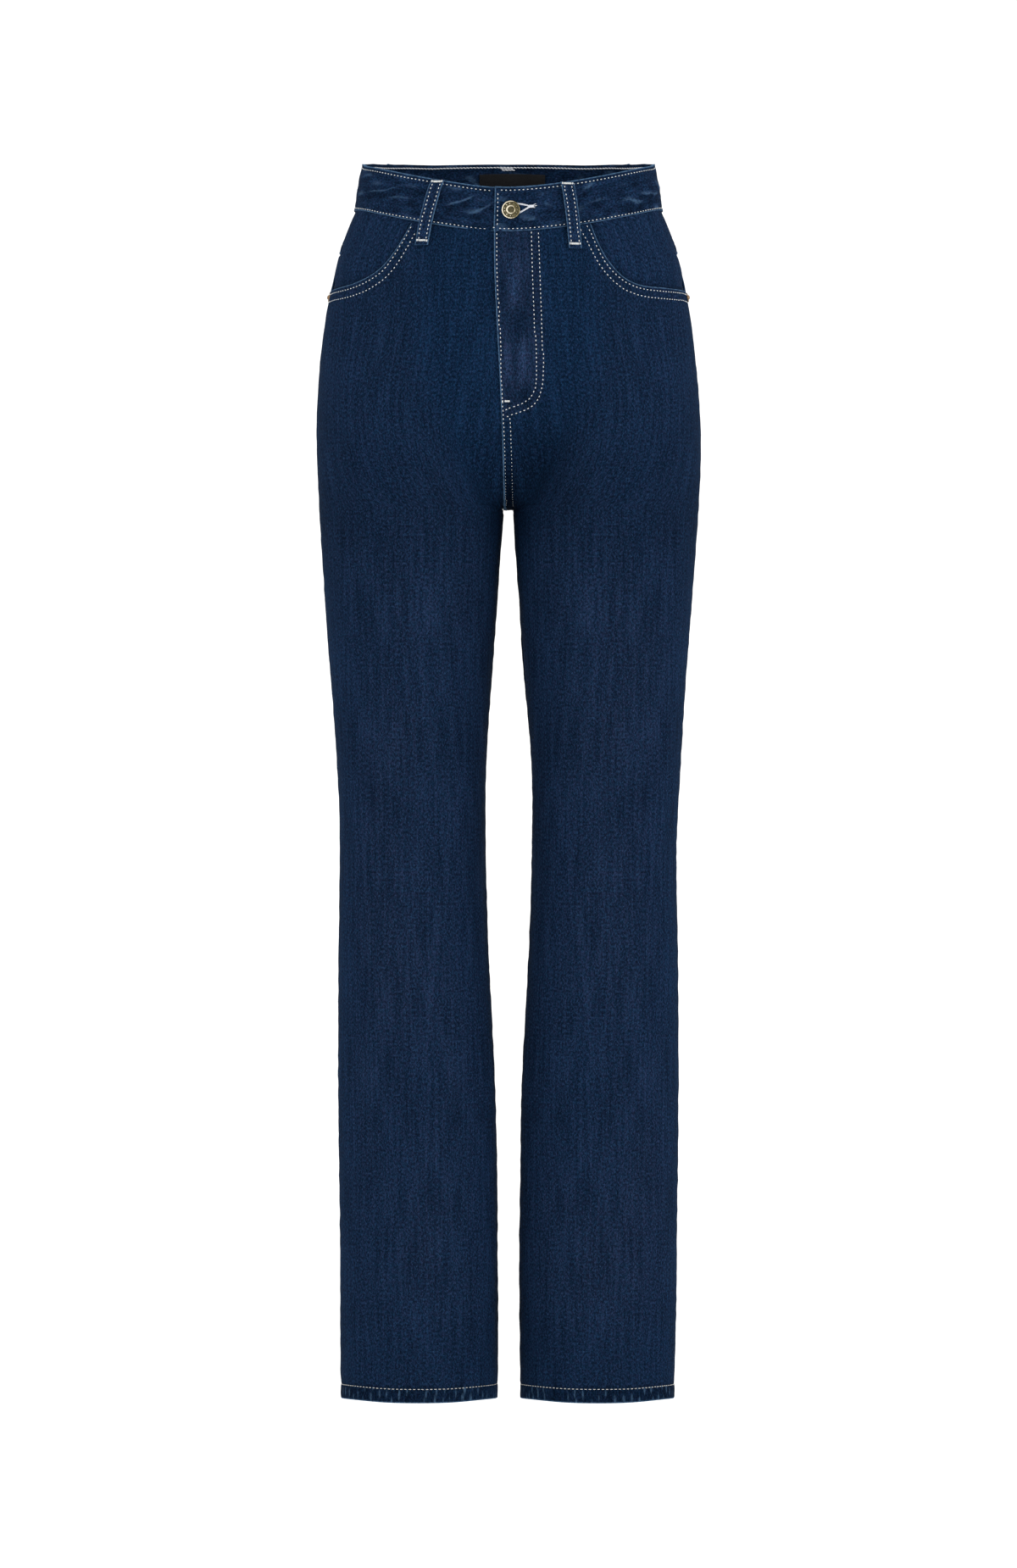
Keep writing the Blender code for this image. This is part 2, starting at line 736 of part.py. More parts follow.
# ----- the whole garment -----
def clear_scene():
    for made in list(bpy.data.objects):
        bpy.data.objects.remove(made, do_unlink=True)


def main():
    clear_scene()
    jeans = bpy.data.collections.new("bootcut_jeans")
    cutters = bpy.data.collections.new("cutters")
    bpy.context.scene.collection.children.link(jeans)
    bpy.context.scene.collection.children.link(cutters)

    denim = material("indigo_denim", (0.016, 0.030, 0.075), 0.85)
    denim_band = material("waistband_denim", (0.018, 0.033, 0.080), 0.85)
    denim_loop = material("belt_loop_denim", (0.022, 0.040, 0.095), 0.85)
    metal = material("aged_brass", (0.32, 0.25, 0.14), 0.38, 1.0)
    copper = material("rivet_copper", (0.40, 0.22, 0.11), 0.40, 1.0)
    black = material("label_cloth", (0.010, 0.010, 0.012), 0.60)

    holes = {}
    for side, word in ((LEFT, "left"), (RIGHT, "right")):
        holes[side] = make_rivet_cutter(side, "rivet_cutter_" + word, metal, cutters)

        grid, sunk = front_grid(side)
        front = cloth("front_" + word, grid, side, FRONT, denim, jeans,
                      moved=lambda i, j: -sunk[i][j])
        cut(front, holes[side])

        grid, drops = facing_grid(side)
        facing = cloth("pocket_facing_" + word, grid, side, FRONT, denim, jeans,
                       moved=lambda i, j: drops[i][j])
        cut(facing, holes[side])

        cloth("back_" + word, back_grid(), side, BACK, denim, jeans)
        cloth("yoke_" + word, yoke_grid(), side, BACK, denim, jeans)
        cloth("back_pocket_" + word, pocket_grid(), side, BACK, denim, jeans,
              moved=lambda i, j: DENIM + POCKET_GAP)
        make_rivet(side, "rivet_" + word, copper, jeans)

    band = make_waistband(denim_band, jeans)
    for cutter in make_buttonhole_cutters(metal, cutters):
        cut(band, cutter)
    for loop in LOOPS:
        make_loop(loop, denim_loop, jeans)
    make_button(metal, jeans)
    make_label(black, jeans)


main()
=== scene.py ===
"""Bootcut jeans: the looks of every piece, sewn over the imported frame.

The front faces -Y, the wearer's left is +X and the waist opening's centre is the origin.
Lengths in the tables are millimetres. Each cut piece is a fine sheet of cloth laid on the
garment's form, given its wall and its folded edges, and sewn with modelled stitches.
"""

import math
from collections import namedtuple

import bmesh
import bpy
import numpy as np
from mathutils import Matrix, Vector
from mathutils.bvhtree import BVHTree


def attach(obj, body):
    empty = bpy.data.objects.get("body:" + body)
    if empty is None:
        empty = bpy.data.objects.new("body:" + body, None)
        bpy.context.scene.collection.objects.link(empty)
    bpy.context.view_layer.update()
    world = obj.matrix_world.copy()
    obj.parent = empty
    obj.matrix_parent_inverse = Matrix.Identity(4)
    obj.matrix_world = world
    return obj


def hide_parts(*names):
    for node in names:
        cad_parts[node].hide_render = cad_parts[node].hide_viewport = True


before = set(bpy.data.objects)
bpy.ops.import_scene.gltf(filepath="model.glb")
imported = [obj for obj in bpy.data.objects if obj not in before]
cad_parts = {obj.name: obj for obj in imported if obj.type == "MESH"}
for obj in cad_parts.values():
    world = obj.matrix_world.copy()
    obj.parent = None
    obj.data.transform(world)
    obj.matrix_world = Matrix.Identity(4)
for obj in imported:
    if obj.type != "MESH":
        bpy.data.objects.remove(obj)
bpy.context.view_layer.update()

bl_info = {
    "name": "Bootcut Jeans",
    "version": (1, 0, 0),
    "blender": (4, 5, 0),
    "location": "3D View > Sidebar > Jeans",
    "description": "Cuts and sews a pair of bootcut jeans over the packed frame",
    "category": "Add Mesh",
}

MM = 0.001

FRONT, BACK = -1, 1
LEFT, RIGHT = 1, -1
SIDES = ((LEFT, "left"), (RIGHT, "right"))


def rows_of(kind, *rows):
    """A table: each row's values under the names that kind gives them."""
    return tuple(kind(*row) for row in rows)


# ----- the form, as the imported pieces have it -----
BAND_HEIGHT = 40.0
SEAM_AT_SIDE = -21.0        # height of the waistband's lower edge at the side seams
FRONT_DIP = 26.0            # how much lower that edge is at the centre front
BACK_LIFT = 11.0            # how much higher it is at the centre back
DIP_POWER = 1.5
CROTCH = -292.0
RISE = {FRONT: 170.0, BACK: 190.0}      # height over which one ring turns into two
SEAM_POWER = {FRONT: 2.6, BACK: 2.3}    # how square the crotch seam turns under
SADDLE_REACH = 0.38         # share of a panel's width over which the crotch turns into the leg
SADDLE_FILL = 0.46          # how much the form swells on the way from hips to leg
FINE_SHARES = np.linspace(0.0, 1.0, 181)
HEM = -1097.0
YOKE_AT_CENTRE = -80.0
YOKE_AT_SIDE = -59.0

Section = namedtuple("Section", "z outer inner front back power")
SECTIONS = rows_of(
    Section,
    (-1097.0, 151.1, 10.5, 72.4, 77.2, 2.10),
    (-1015.0, 152.5, 10.2, 71.4, 76.2, 2.10),
    (-922.0, 153.3, 10.6, 70.2, 75.0, 2.10),
    (-830.0, 154.0, 12.1, 69.0, 73.5, 2.10),
    (-737.0, 154.0, 16.5, 68.0, 72.0, 2.10),
    (-645.0, 153.2, 20.4, 68.4, 71.5, 2.10),
    (-583.0, 152.9, 21.5, 71.0, 74.0, 2.10),
    (-522.0, 155.3, 20.6, 75.8, 80.0, 2.10),
    (-460.0, 159.7, 16.3, 81.5, 87.0, 2.10),
    (-398.0, 164.9, 11.6, 87.5, 94.0, 2.10),
    (-337.0, 169.7, 7.2, 93.0, 103.0, 2.10),
    (-292.0, 172.5, 4.5, 97.0, 112.0, 2.12),
    (-229.0, 174.2, 4.5, 102.5, 124.0, 2.16),
    (-168.0, 171.2, 4.5, 105.2, 125.5, 2.18),
    (-121.0, 165.5, 4.5, 104.2, 121.0, 2.20),
    (-75.0, 156.5, 4.5, 100.8, 113.5, 2.20),
    (-52.0, 150.5, 4.5, 98.2, 108.5, 2.20),
    (-34.0, 144.6, 4.5, 95.6, 104.0, 2.20),
    (-21.0, 139.2, 4.5, 93.8, 101.0, 2.20),
    (0.0, 135.5, 4.5, 90.8, 97.0, 2.20),
    (32.0, 130.0, 4.5, 86.0, 92.5, 2.20),
)

# The curved front pocket mouths: across is a share of the half width. The left one hangs wider.
Mouth = namedtuple("Mouth", "across z")
RIGHT_MOUTH = rows_of(Mouth, (0.593, -37.0), (0.657, -61.0), (0.733, -78.5), (0.853, -89.8),
                      (1.000, -94.5))
LEFT_MOUTH = rows_of(Mouth, (0.500, -37.0), (0.531, -55.9), (0.574, -71.8), (0.651, -86.7),
                     (0.741, -93.2), (0.870, -94.4), (1.000, -94.5))
MOUTH = {LEFT: LEFT_MOUTH, RIGHT: RIGHT_MOUTH}
MOUTH_POWER = 2.20

# How far the left front's folded edge reaches past the middle.
Lap = namedtuple("Lap", "z reach")
FLY_LAP = rows_of(Lap, (-292.0, 4.2), (-235.0, 5.4), (-182.0, 7.6), (-83.0, 12.5), (-20.0, 12.7))

# ----- cloth -----
DENIM = 1.2                 # one layer
BAND_THICKNESS = 2.4
HEM_THICKNESS = 2.4
MOUTH_THICKNESS = 1.8       # at a pocket mouth's turned edge
LAP_THICKNESS = 1.75        # at the fly's folded edge
POCKET_THICKNESS = 1.6
LABEL_THICKNESS = 0.6
SOFT_EDGE = 0.35            # how far a cut or folded edge is rounded
MOST_EDGE = 60.0            # farther from an edge than this, nothing changes
HEM_HEIGHT = 12.6
UNDERLAP = 8.0              # how far the right front runs on under the left one
UNDER_DROP = 1.9            # how deep a lapped piece lies under the one over it
SEAT_LAP = 4.6              # how far the left back laps over the right one
BACK_UNDERLAP = 2.0         # how far the right back and yoke run on under the left ones
YOKE_TUCK = 6.0             # how far the back runs up under the yoke
FRONT_OVER_BACK = 0.30      # how far the front reaches over the back at a seam
SEAM_CLEAR = 0.06           # how far the back's edge keeps from the middle plane of a seam
FACING_BEFORE = 0.045       # share of the front's width that a facing starts before its mouth
FACING_BELOW = 14.0         # how far a facing runs on below its mouth
LAP_COLUMNS = 9             # columns of points in a lap
MIDDLE_POINTS = 12          # columns next to the middle that a lap is mirrored from

Crease = namedtuple("Crease", "side face x0 z0 x1 z1 width depth")
CREASES = rows_of(
    Crease,
    # fronts: soft drag lines from the crotch and over the thighs
    (LEFT, FRONT, 14, -262, 96, -214, 9.0, -0.9),
    (LEFT, FRONT, 20, -286, 118, -262, 10.0, -0.8),
    (RIGHT, FRONT, 16, -252, 84, -206, 8.0, -0.8),
    (RIGHT, FRONT, 22, -280, 112, -248, 11.0, -0.9),
    (LEFT, FRONT, 60, -330, 64, -470, 12.0, 0.8),
    (RIGHT, FRONT, 70, -350, 66, -500, 12.0, 0.8),
    (LEFT, FRONT, 124, -160, 148, -240, 10.0, -0.6),
    (RIGHT, FRONT, 128, -150, 150, -236, 10.0, -0.7),
    # knees and calves
    (LEFT, FRONT, 36, -560, 92, -600, 11.0, -0.9),
    (RIGHT, FRONT, 40, -590, 100, -566, 11.0, -0.8),
    (LEFT, FRONT, 84, -700, 78, -880, 14.0, 0.9),
    (RIGHT, FRONT, 76, -720, 84, -900, 14.0, 0.9),
    (LEFT, FRONT, 112, -930, 104, -1060, 12.0, -0.8),
    (RIGHT, FRONT, 108, -900, 116, -1050, 12.0, -0.8),
    # backs: under the seat, behind the knees and down the calves
    (LEFT, BACK, 14, -318, 110, -296, 8.0, -1.6),
    (RIGHT, BACK, 14, -310, 104, -300, 8.0, -1.5),
    (LEFT, BACK, 24, -348, 92, -322, 9.0, -1.1),
    (RIGHT, BACK, 20, -344, 100, -330, 9.0, -1.2),
    (LEFT, BACK, 30, -560, 128, -584, 9.0, -1.5),
    (RIGHT, BACK, 34, -578, 132, -552, 9.0, -1.4),
    (LEFT, BACK, 46, -612, 138, -596, 9.0, -1.2),
    (RIGHT, BACK, 36, -606, 120, -622, 9.0, -1.3),
    (LEFT, BACK, 92, -720, 84, -930, 14.0, 1.0),
    (RIGHT, BACK, 84, -730, 92, -950, 14.0, 1.0),
    (LEFT, BACK, 60, -1010, 112, -1040, 10.0, -0.9),
    (RIGHT, BACK, 66, -1046, 118, -1018, 10.0, -0.9),
)

# Back pockets: each edge's distance from the seat seam, along the cloth.
PocketEdge = namedtuple("PocketEdge", "inner outer")
POCKET_UPPER = PocketEdge(34.0, 176.0)
POCKET_LOWER = PocketEdge(44.0, 170.0)
POCKET_DROP = 130.0
POCKET_TOP = -102.0
POCKET_TILT = 10.0
POCKET_POINT = 24.0
POCKET_LIFT = 2.1           # how far the pocket's outer face stands over the back's
POCKET_HEM = 12.0

# Belt loops: places are distances from the middle plane.
Loop = namedtuple("Loop", "name face top bottom")
LOOPS = rows_of(
    Loop,
    ("belt_loop_front_left", FRONT, 52.0, 59.5),
    ("belt_loop_front_right", FRONT, -62.8, -77.5),
    ("belt_loop_side_left", BACK, 104.0, 106.0),
    ("belt_loop_side_right", BACK, -104.0, -106.0),
    ("belt_loop_back", BACK, 0.0, 0.0),
)
LOOP_WIDTH = 11.6
# A loop's outer face from the side: out is from the cloth, up is from the band's top edge.
LoopPoint = namedtuple("LoopPoint", "out up")
LOOP_PATH = rows_of(LoopPoint, (1.7, -0.3), (2.9, -1.0), (3.7, -3.4), (4.9, -7.5), (5.9, -16.0),
                    (6.3, -28.0), (6.1, -38.0), (4.6, -48.0), (3.2, -55.0), (2.7, -59.0),
                    (1.8, -61.8))
LOOP_WALL = 1.5

BAND_STEPS = 600
BAND_UNDERLAP = 6.0         # degrees round the waist

BandFold = namedtuple("BandFold", "places width height")
BAND_FOLDS = rows_of(
    BandFold,
    # in front: places across and up, as seen from in front
    (((-130, -7.6), (-121, -6.9), (-110, -7.4), (-103, -5.7), (-94, -4.4)), 1.05, 0.75),
    (((-112, -14.6), (-99, -14.2), (-88, -16.0), (-81, -18.4)), 1.2, 0.45),
    (((-134, 5.8), (-128, 8.4), (-121, 8.9)), 1.8, 0.45),
    (((-58, -24.0), (-47, -21.2), (-38, -18.3), (-31, -14.4)), 1.05, 0.9),
    (((-33, -29.4), (-25, -27.2), (-17, -23.5), (-13.4, -20.4)), 1.0, 0.7),
    (((-40, -31.4), (-30, -30.0), (-19, -30.1), (-14, -31.5)), 1.2, 0.45),
    (((-55, -5.0), (-48, -9.0), (-40, -8.0)), 2.2, 0.3),
    (((8, -34.0), (16, -36.5), (25, -35.5)), 2.4, 0.35),
    (((30, -20.0), (38, -25.0), (45, -24.0)), 2.4, 0.3),
    (((62, -13.9), (67, -9.2), (73, -5.2), (75.5, -1.0)), 1.8, 0.45),
    (((66, -22.2), (74, -19.6), (84, -16.2)), 2.0, 0.4),
    (((97, -19.4), (107, -15.0), (115, -18.2), (126, -13.0)), 2.0, 0.5),
    (((115, -8.4), (124, -9.3), (131, -6.6)), 1.6, 0.5),
    (((128, -12.4), (134, -4.4), (135.5, 2.0)), 1.7, 0.6),
)
BandCrease = namedtuple("BandCrease", "s down run fall width height")
BAND_CREASES = rows_of(
    BandCrease,
    # round the sides and back: distances from the left end, and down the band
    (170.0, 12.0, 24.0, 10.0, 2.2, 0.45), (196.0, 30.0, 22.0, -9.0, 2.0, 0.5),
    (214.0, 10.0, 20.0, 14.0, 2.2, 0.5), (262.0, 30.0, 26.0, -12.0, 2.2, 0.5),
    (318.0, 12.0, 24.0, 15.0, 2.2, 0.5), (398.0, 28.0, 26.0, -14.0, 2.2, 0.5),
    (442.0, 10.0, 24.0, 12.0, 2.2, 0.5), (506.0, 29.0, 24.0, -13.0, 2.2, 0.5),
    (548.0, 12.0, 26.0, 13.0, 2.2, 0.5), (578.0, 27.0, 16.0, -8.0, 2.0, 0.45),
)
TROUGH_BELOW = 4.2          # how far under a fold's ridge its trough runs

BUTTON_ACROSS = 2.1
BUTTON_HEIGHT = -28.2
BUTTON_RADIUS = 8.3
BUTTON_FOOT = 1.9           # how far its rim stands over the form
RIVET_HEIGHT = -100.0
RIVET_PLACE = 0.955         # share of the front panel's width
RIVET_RADIUS = 4.3
# Turned profiles from the top down. A cap's points are a share of its radius across and
# millimetres over its foot; a post's points are millimetres across and over the form.
BUTTON_CAP = ((0.0, 1.50), (0.24, 1.50), (0.30, 1.62), (0.33, 2.35), (0.37, 2.66), (0.45, 2.62),
              (0.50, 2.30), (0.53, 1.72), (0.84, 1.60), (0.86, 2.05), (0.89, 2.32), (0.94, 2.24),
              (0.98, 1.92), (1.0, 1.50), (0.99, 1.05), (0.94, 0.62), (0.80, 0.42), (0.40, 0.05))
BUTTON_POST = ((1.6, 1.8), (1.6, -4.6), (4.2, -4.7), (4.2, -5.2), (3.4, -5.7), (0.0, -5.8))
BUTTON_DIMPLE = 0.34        # radius of the sunk middle, as a share
BUTTON_RING = (0.52, 0.86)  # the sunk ring's inner and outer radius, as shares
BUTTON_BARS = 11
RIVET_CAP = ((0.0, 3.25), (0.16, 3.2), (0.30, 3.0), (0.42, 2.6), (0.50, 2.05), (0.56, 1.75),
             (0.64, 1.72), (0.78, 1.78), (0.90, 1.62), (1.0, 1.2), (0.97, 0.85), (0.86, 0.7))
RIVET_POST = ((1.3, 0.6), (1.3, -5.2), (3.3, -5.2), (3.4, -5.6), (2.6, -5.9), (0.0, -6.0))

LABEL_FROM = -27.0
LABEL_TO = 34.0
LABEL_BELOW_TOP = 8.0
LABEL_HEIGHT = 28.0

# ----- stitching -----
StitchSize = namedtuple("StitchSize", "pitch length radius")
TOPSTITCH = StitchSize(3.9, 1.75, 0.42)
BAND_STITCH = StitchSize(3.9, 1.65, 0.42)
HEM_STITCH = StitchSize(3.9, 2.6, 0.30)
TACK_STITCH = StitchSize(0.62, 2.4, 0.36)
ROPE_STITCH = StitchSize(3.1, 3.5, 0.56)
HOLE_STITCH = StitchSize(0.55, 1.75, 0.30)
STITCH_NEAR, STITCH_FAR = 2.4, 8.4      # a double row's distances from its edge
SEAT_ROW_FAR = 8.2
BAND_ROW_TOP, BAND_ROW_LOW = 1.9, 3.0   # the waistband's rows, from its upper and lower edge
CROTCH_TAPER = 0.45         # how much smaller the stitches of the crotch's rows get
ROUNDING = 40               # how often a guide line's corners are evened out

# Rows of stitches: places across and up on the front, as seen from in front.
FLY_EDGE_ROW = ((-10.1, -46.6), (-10.1, -83.0), (-5.9, -174.0), (-4.9, -198.8),
                (-4.0, -212.9), (-3.0, -250.8), (-2.4, -289.5))
CROTCH_SECOND_ROW = ((1.6, -212.5), (2.0, -216.0), (3.0, -250.8), (3.6, -289.5))
FLY_INNER_ROW = ((20.5, -46.0), (21.1, -83.1), (25.4, -174.0), (24.9, -185.3), (22.7, -192.8),
                 (19.7, -197.3), (11.4, -202.0), (3.2, -204.3), (-4.6, -207.2))
FLY_OUTER_ROW = ((27.1, -45.6), (28.3, -83.0), (31.6, -174.0), (30.6, -186.7), (27.9, -196.5),
                 (24.9, -201.5), (18.4, -205.9), (12.3, -208.5), (-3.6, -213.5))
FLY_TACK = ((-5.6, -199.0), (2.0, -199.0))
RIGHT_MOUTH_ROWS = (
    ((86.3, -40.5), (90.1, -47.1), (94.9, -55.4), (100.8, -64.9), (106.7, -74.1), (113.3, -82.1),
     (119.2, -85.9), (127.5, -90.6), (136.4, -94.2), (144.4, -96.2), (153.0, -97.2),
     (158.4, -97.4)),
    ((82.4, -45.5), (86.2, -52.2), (92.0, -62.9), (98.3, -72.9), (104.7, -82.0), (109.8, -87.3),
     (118.2, -93.2), (127.5, -98.2), (137.9, -101.6), (146.4, -103.3), (154.0, -104.0),
     (158.6, -104.1)),
)
LEFT_MOUTH_ROWS = (
    ((69.3, -40.0), (73.3, -46.9), (75.9, -52.6), (79.4, -60.8), (83.9, -69.6), (89.9, -78.2),
     (98.0, -86.5), (104.3, -91.0), (111.1, -94.6), (119.5, -97.0), (132.9, -97.9),
     (146.0, -98.0), (153.0, -97.8), (158.4, -97.4)),
    ((61.6, -40.0), (66.0, -47.5), (69.0, -53.0), (72.9, -60.6), (77.2, -69.6), (82.8, -78.6),
     (90.0, -87.0), (94.3, -91.3), (100.2, -96.0), (108.4, -100.4), (120.4, -103.6),
     (132.9, -104.5), (146.0, -104.6), (154.0, -104.3), (158.6, -104.1)),
)
MOUTH_ROWS = {LEFT: LEFT_MOUTH_ROWS, RIGHT: RIGHT_MOUTH_ROWS}
# Thread at the buttonhole: its two lips, its bar and its frayed tails.
HOLE_LIPS = (((7.0, -22.2), (12.0, -22.8), (17.5, -24.1)),
             ((7.0, -31.8), (11.8, -29.4), (18.0, -25.6)))
HOLE_BAR = ((16.6, -24.9), (23.0, -24.5))
HOLE_TAILS = (((20.6, -24.2), (24.4, -22.3)), ((21.0, -24.6), (25.4, -24.0)),
              ((20.6, -25.2), (24.0, -26.2)))


# ----- the form -----
def mix(a, b, share):
    return a + (b - a) * share


def ease(share):
    share = np.clip(share, 0.0, 1.0)
    return share * share * (3.0 - 2.0 * share)


def until(value, end, over):
    """1 up to an end, then easing to 0 over a length."""
    return 1.0 - ease((value - end) / over)


def bump(distance, width):
    """A smooth ridge of height 1 over a line."""
    return np.exp(-(distance / width) ** 2)


def curve_through(places, values, at):
    """A smooth curve through values at rising places, read at many places."""
    places, values = np.asarray(places, float), np.asarray(values, float)
    last = len(places) - 1
    low = np.maximum(np.arange(last + 1) - 1, 0)
    high = np.minimum(np.arange(last + 1) + 1, last)
    slope = (values[high] - values[low]) / (places[high] - places[low])
    at = np.clip(at, places[0], places[last])
    index = np.clip(np.searchsorted(places, at) - 1, 0, last - 1)
    length = places[index + 1] - places[index]
    t = (at - places[index]) / length
    start = (2.0 * t ** 3 - 3.0 * t ** 2 + 1.0) * values[index]
    end = (3.0 * t ** 2 - 2.0 * t ** 3) * values[index + 1]
    leaving = (t ** 3 - 2.0 * t ** 2 + t) * length * slope[index]
    arriving = (t ** 3 - t ** 2) * length * slope[index + 1]
    return start + end + leaving + arriving


def table_column(table, across, along, at):
    """One column of a table, read along another column that rises."""
    return curve_through([getattr(row, along) for row in table],
                         [getattr(row, across) for row in table], at)


def section(z):
    return Section(z, *(table_column(SECTIONS, name, "z", z) for name in Section._fields[1:]))


def ring_point(form, middle, half, angle, z, face):
    """A point of a squarish ring, an angle round from its middle."""
    turn = np.sin(angle)
    depth = form.front if face == FRONT else form.back
    x = middle + half * np.sign(turn) * np.abs(turn) ** (2.0 / form.power)
    y = face * depth * np.maximum(np.cos(angle), 0.0) ** (2.0 / form.power)
    return np.stack(np.broadcast_arrays(x, y, z), -1)


def body_ring(u, z, face):
    """The ring round the hips: u is 0 at the middle and 1 at the side seam."""
    form = section(z)
    return ring_point(form, 0.0, form.outer, u * math.pi / 2.0, z, face)


def leg_ring(u, z, face):
    """The ring round a leg: u is 0 at the inseam and 1 at the side seam."""
    form = section(z)
    middle, half = (form.outer + form.inner) / 2.0, (form.outer - form.inner) / 2.0
    return ring_point(form, middle, half, (2.0 * u - 1.0) * math.pi / 2.0, z, face)


def seam_turn(t, face):
    power = 2.0 / SEAM_POWER[face]
    angle = t * math.pi / 2.0
    return np.sin(angle) ** power, 1.0 - np.maximum(np.cos(angle), 0.0) ** power


def crotch_height(u, t, face):
    down, _ = seam_turn(t, face)
    near_seam = CROTCH + RISE[face] * (1.0 - down)
    away = CROTCH + RISE[face] * (1.0 - t)
    return mix(near_seam, away, ease(u / SADDLE_REACH))


def crotch_point(u, t, face):
    """The saddle: t is 0 where it starts in the body and 1 at the crotch."""
    _, inward = seam_turn(t, face)
    clear_of_seam = ease(u / SADDLE_REACH)
    share = mix(inward, ease(t), clear_of_seam)
    z = crotch_height(u, t, face)
    point = mix(body_ring(u, z, face), leg_ring(u, z, face), share[..., None])
    point[..., 1] *= 1.0 + clear_of_seam * SADDLE_FILL * share * (1.0 - share)
    return point


def form_point(u, z, face):
    """The form at shares u of a panel's width and at heights z."""
    u, z = (np.array(a, float) for a in np.broadcast_arrays(u, z))
    point = np.empty(u.shape + (3,))
    body = z >= CROTCH + RISE[face]
    leg = z <= CROTCH
    saddle = ~(body | leg)
    point[body] = body_ring(u[body], z[body], face)
    point[leg] = leg_ring(u[leg], z[leg], face)
    if saddle.any():
        point[saddle] = saddle_point(u[saddle], z[saddle], face)
    return point


def saddle_point(u, z, face):
    low, high = np.zeros_like(u), np.ones_like(u)
    for _ in range(22):
        middle = (low + high) / 2.0
        above = crotch_height(u, middle, face) > z
        low, high = np.where(above, middle, low), np.where(above, high, middle)
    return crotch_point(u, low, face)


def form_across(x, z, face):
    """The form at signed distances from the middle plane and at heights."""
    x, z = (np.array(a, float) for a in np.broadcast_arrays(x, z))
    u = share_at(x, z)
    for place in np.argwhere(z < CROTCH + RISE[face]):
        here = tuple(place)
        ring = form_point(FINE_SHARES, np.full_like(FINE_SHARES, z[here]), face)
        u[here] = np.interp(abs(x[here]), ring[:, 0], FINE_SHARES)
    point = form_point(u, z, face)
    point[..., 0] = x
    return point


def form_outward(x, z, face):
    """The outward direction of the form."""
    across = form_across(x + 1.0, z, face) - form_across(x - 1.0, z, face)
    up = form_across(x, z + 1.0, face) - form_across(x, z - 1.0, face)
    normal = np.cross(across, up)
    normal /= np.linalg.norm(normal, axis=-1, keepdims=True)
    return normal * np.sign(normal[..., 1:2]) * face


def share_at(x, z):
    """The share u at which the ring round the hips lies x from the middle plane."""
    form = section(np.asarray(z, float))
    across = np.minimum(np.abs(x) / form.outer, 1.0)
    return np.arcsin(across ** (form.power / 2.0)) * 2.0 / math.pi


def share_along(length, z, face):
    """The shares u at distances along the cloth from the centre seam, at heights."""
    length, z = np.broadcast_arrays(np.asarray(length, float), z)
    rings = travelled(form_point(FINE_SHARES, z.ravel()[:, None], face))
    found = [np.interp(away, ring, FINE_SHARES) for away, ring in zip(length.ravel(), rings)]
    return np.array(found).reshape(length.shape)


def travelled(points):
    """Distance along a line of points from its first one."""
    steps = np.linalg.norm(np.diff(points, axis=-2), axis=-1)
    return np.concatenate([np.zeros(steps.shape[:-1] + (1,)), np.cumsum(steps, -1)], -1)


def waist_seam(u, face):
    """Height of the waistband's lower edge."""
    dip = 1.0 - np.sin(np.minimum(u, 1.0) * math.pi / 2.0) ** DIP_POWER
    return SEAM_AT_SIDE + (-FRONT_DIP if face == FRONT else BACK_LIFT) * dip


def mouth_height(u, side):
    across = np.sin(np.minimum(u, 1.0) * math.pi / 2.0) ** (2.0 / MOUTH_POWER)
    return table_column(MOUTH[side], "z", "across", across)


def mouth_start(side):
    across = MOUTH[side][0].across
    return math.asin(across ** (MOUTH_POWER / 2.0)) * 2.0 / math.pi


def lap_reach(z):
    return table_column(FLY_LAP, "reach", "z", z)


def wander(across, along, seed, scale, count=14):
    """Smooth, uneven ups and downs of about -1 to 1, the same on every run."""
    rng = np.random.default_rng(seed)
    total = np.zeros(np.broadcast(across, along).shape)
    for _ in range(count):
        turn = rng.uniform(0.0, 2.0 * math.pi)
        wave = scale * rng.uniform(0.6, 1.7)
        phase = rng.uniform(0.0, 2.0 * math.pi)
        total += np.sin((across * math.cos(turn) + along * math.sin(turn)) * 2.0 * math.pi / wave
                        + phase)
    return total / math.sqrt(count)


def distance_to_line(x, z, line):
    """Distance from each place to a line of places, and how far along it the nearest one is."""
    line = np.asarray(line, float)
    best = np.full(np.shape(x), 1e9)
    along = np.zeros(np.shape(x))
    start = 0.0
    for (ax, az), (bx, bz) in zip(line, line[1:]):
        length = math.hypot(bx - ax, bz - az)
        share = np.clip(((x - ax) * (bx - ax) + (z - az) * (bz - az)) / length ** 2, 0.0, 1.0)
        away = np.hypot(x - mix(ax, bx, share), z - mix(az, bz, share))
        nearer = away < best
        best = np.where(nearer, away, best)
        along = np.where(nearer, start + share * length, along)
        start += length
    return best, along


# ----- cutting cloth -----
def select_only(*objects):
    bpy.ops.object.select_all(action="DESELECT")
    for item in objects:
        item.select_set(True)
    bpy.context.view_layer.objects.active = objects[0]


def read_vectors(items, name):
    values = np.empty(len(items) * 3)
    items.foreach_get(name, values)
    return values.reshape(-1, 3)


def corner_points(mesh):
    """The point at each corner of each face."""
    corners = np.empty(len(mesh.loops), int)
    mesh.loops.foreach_get("vertex_index", corners)
    return corners


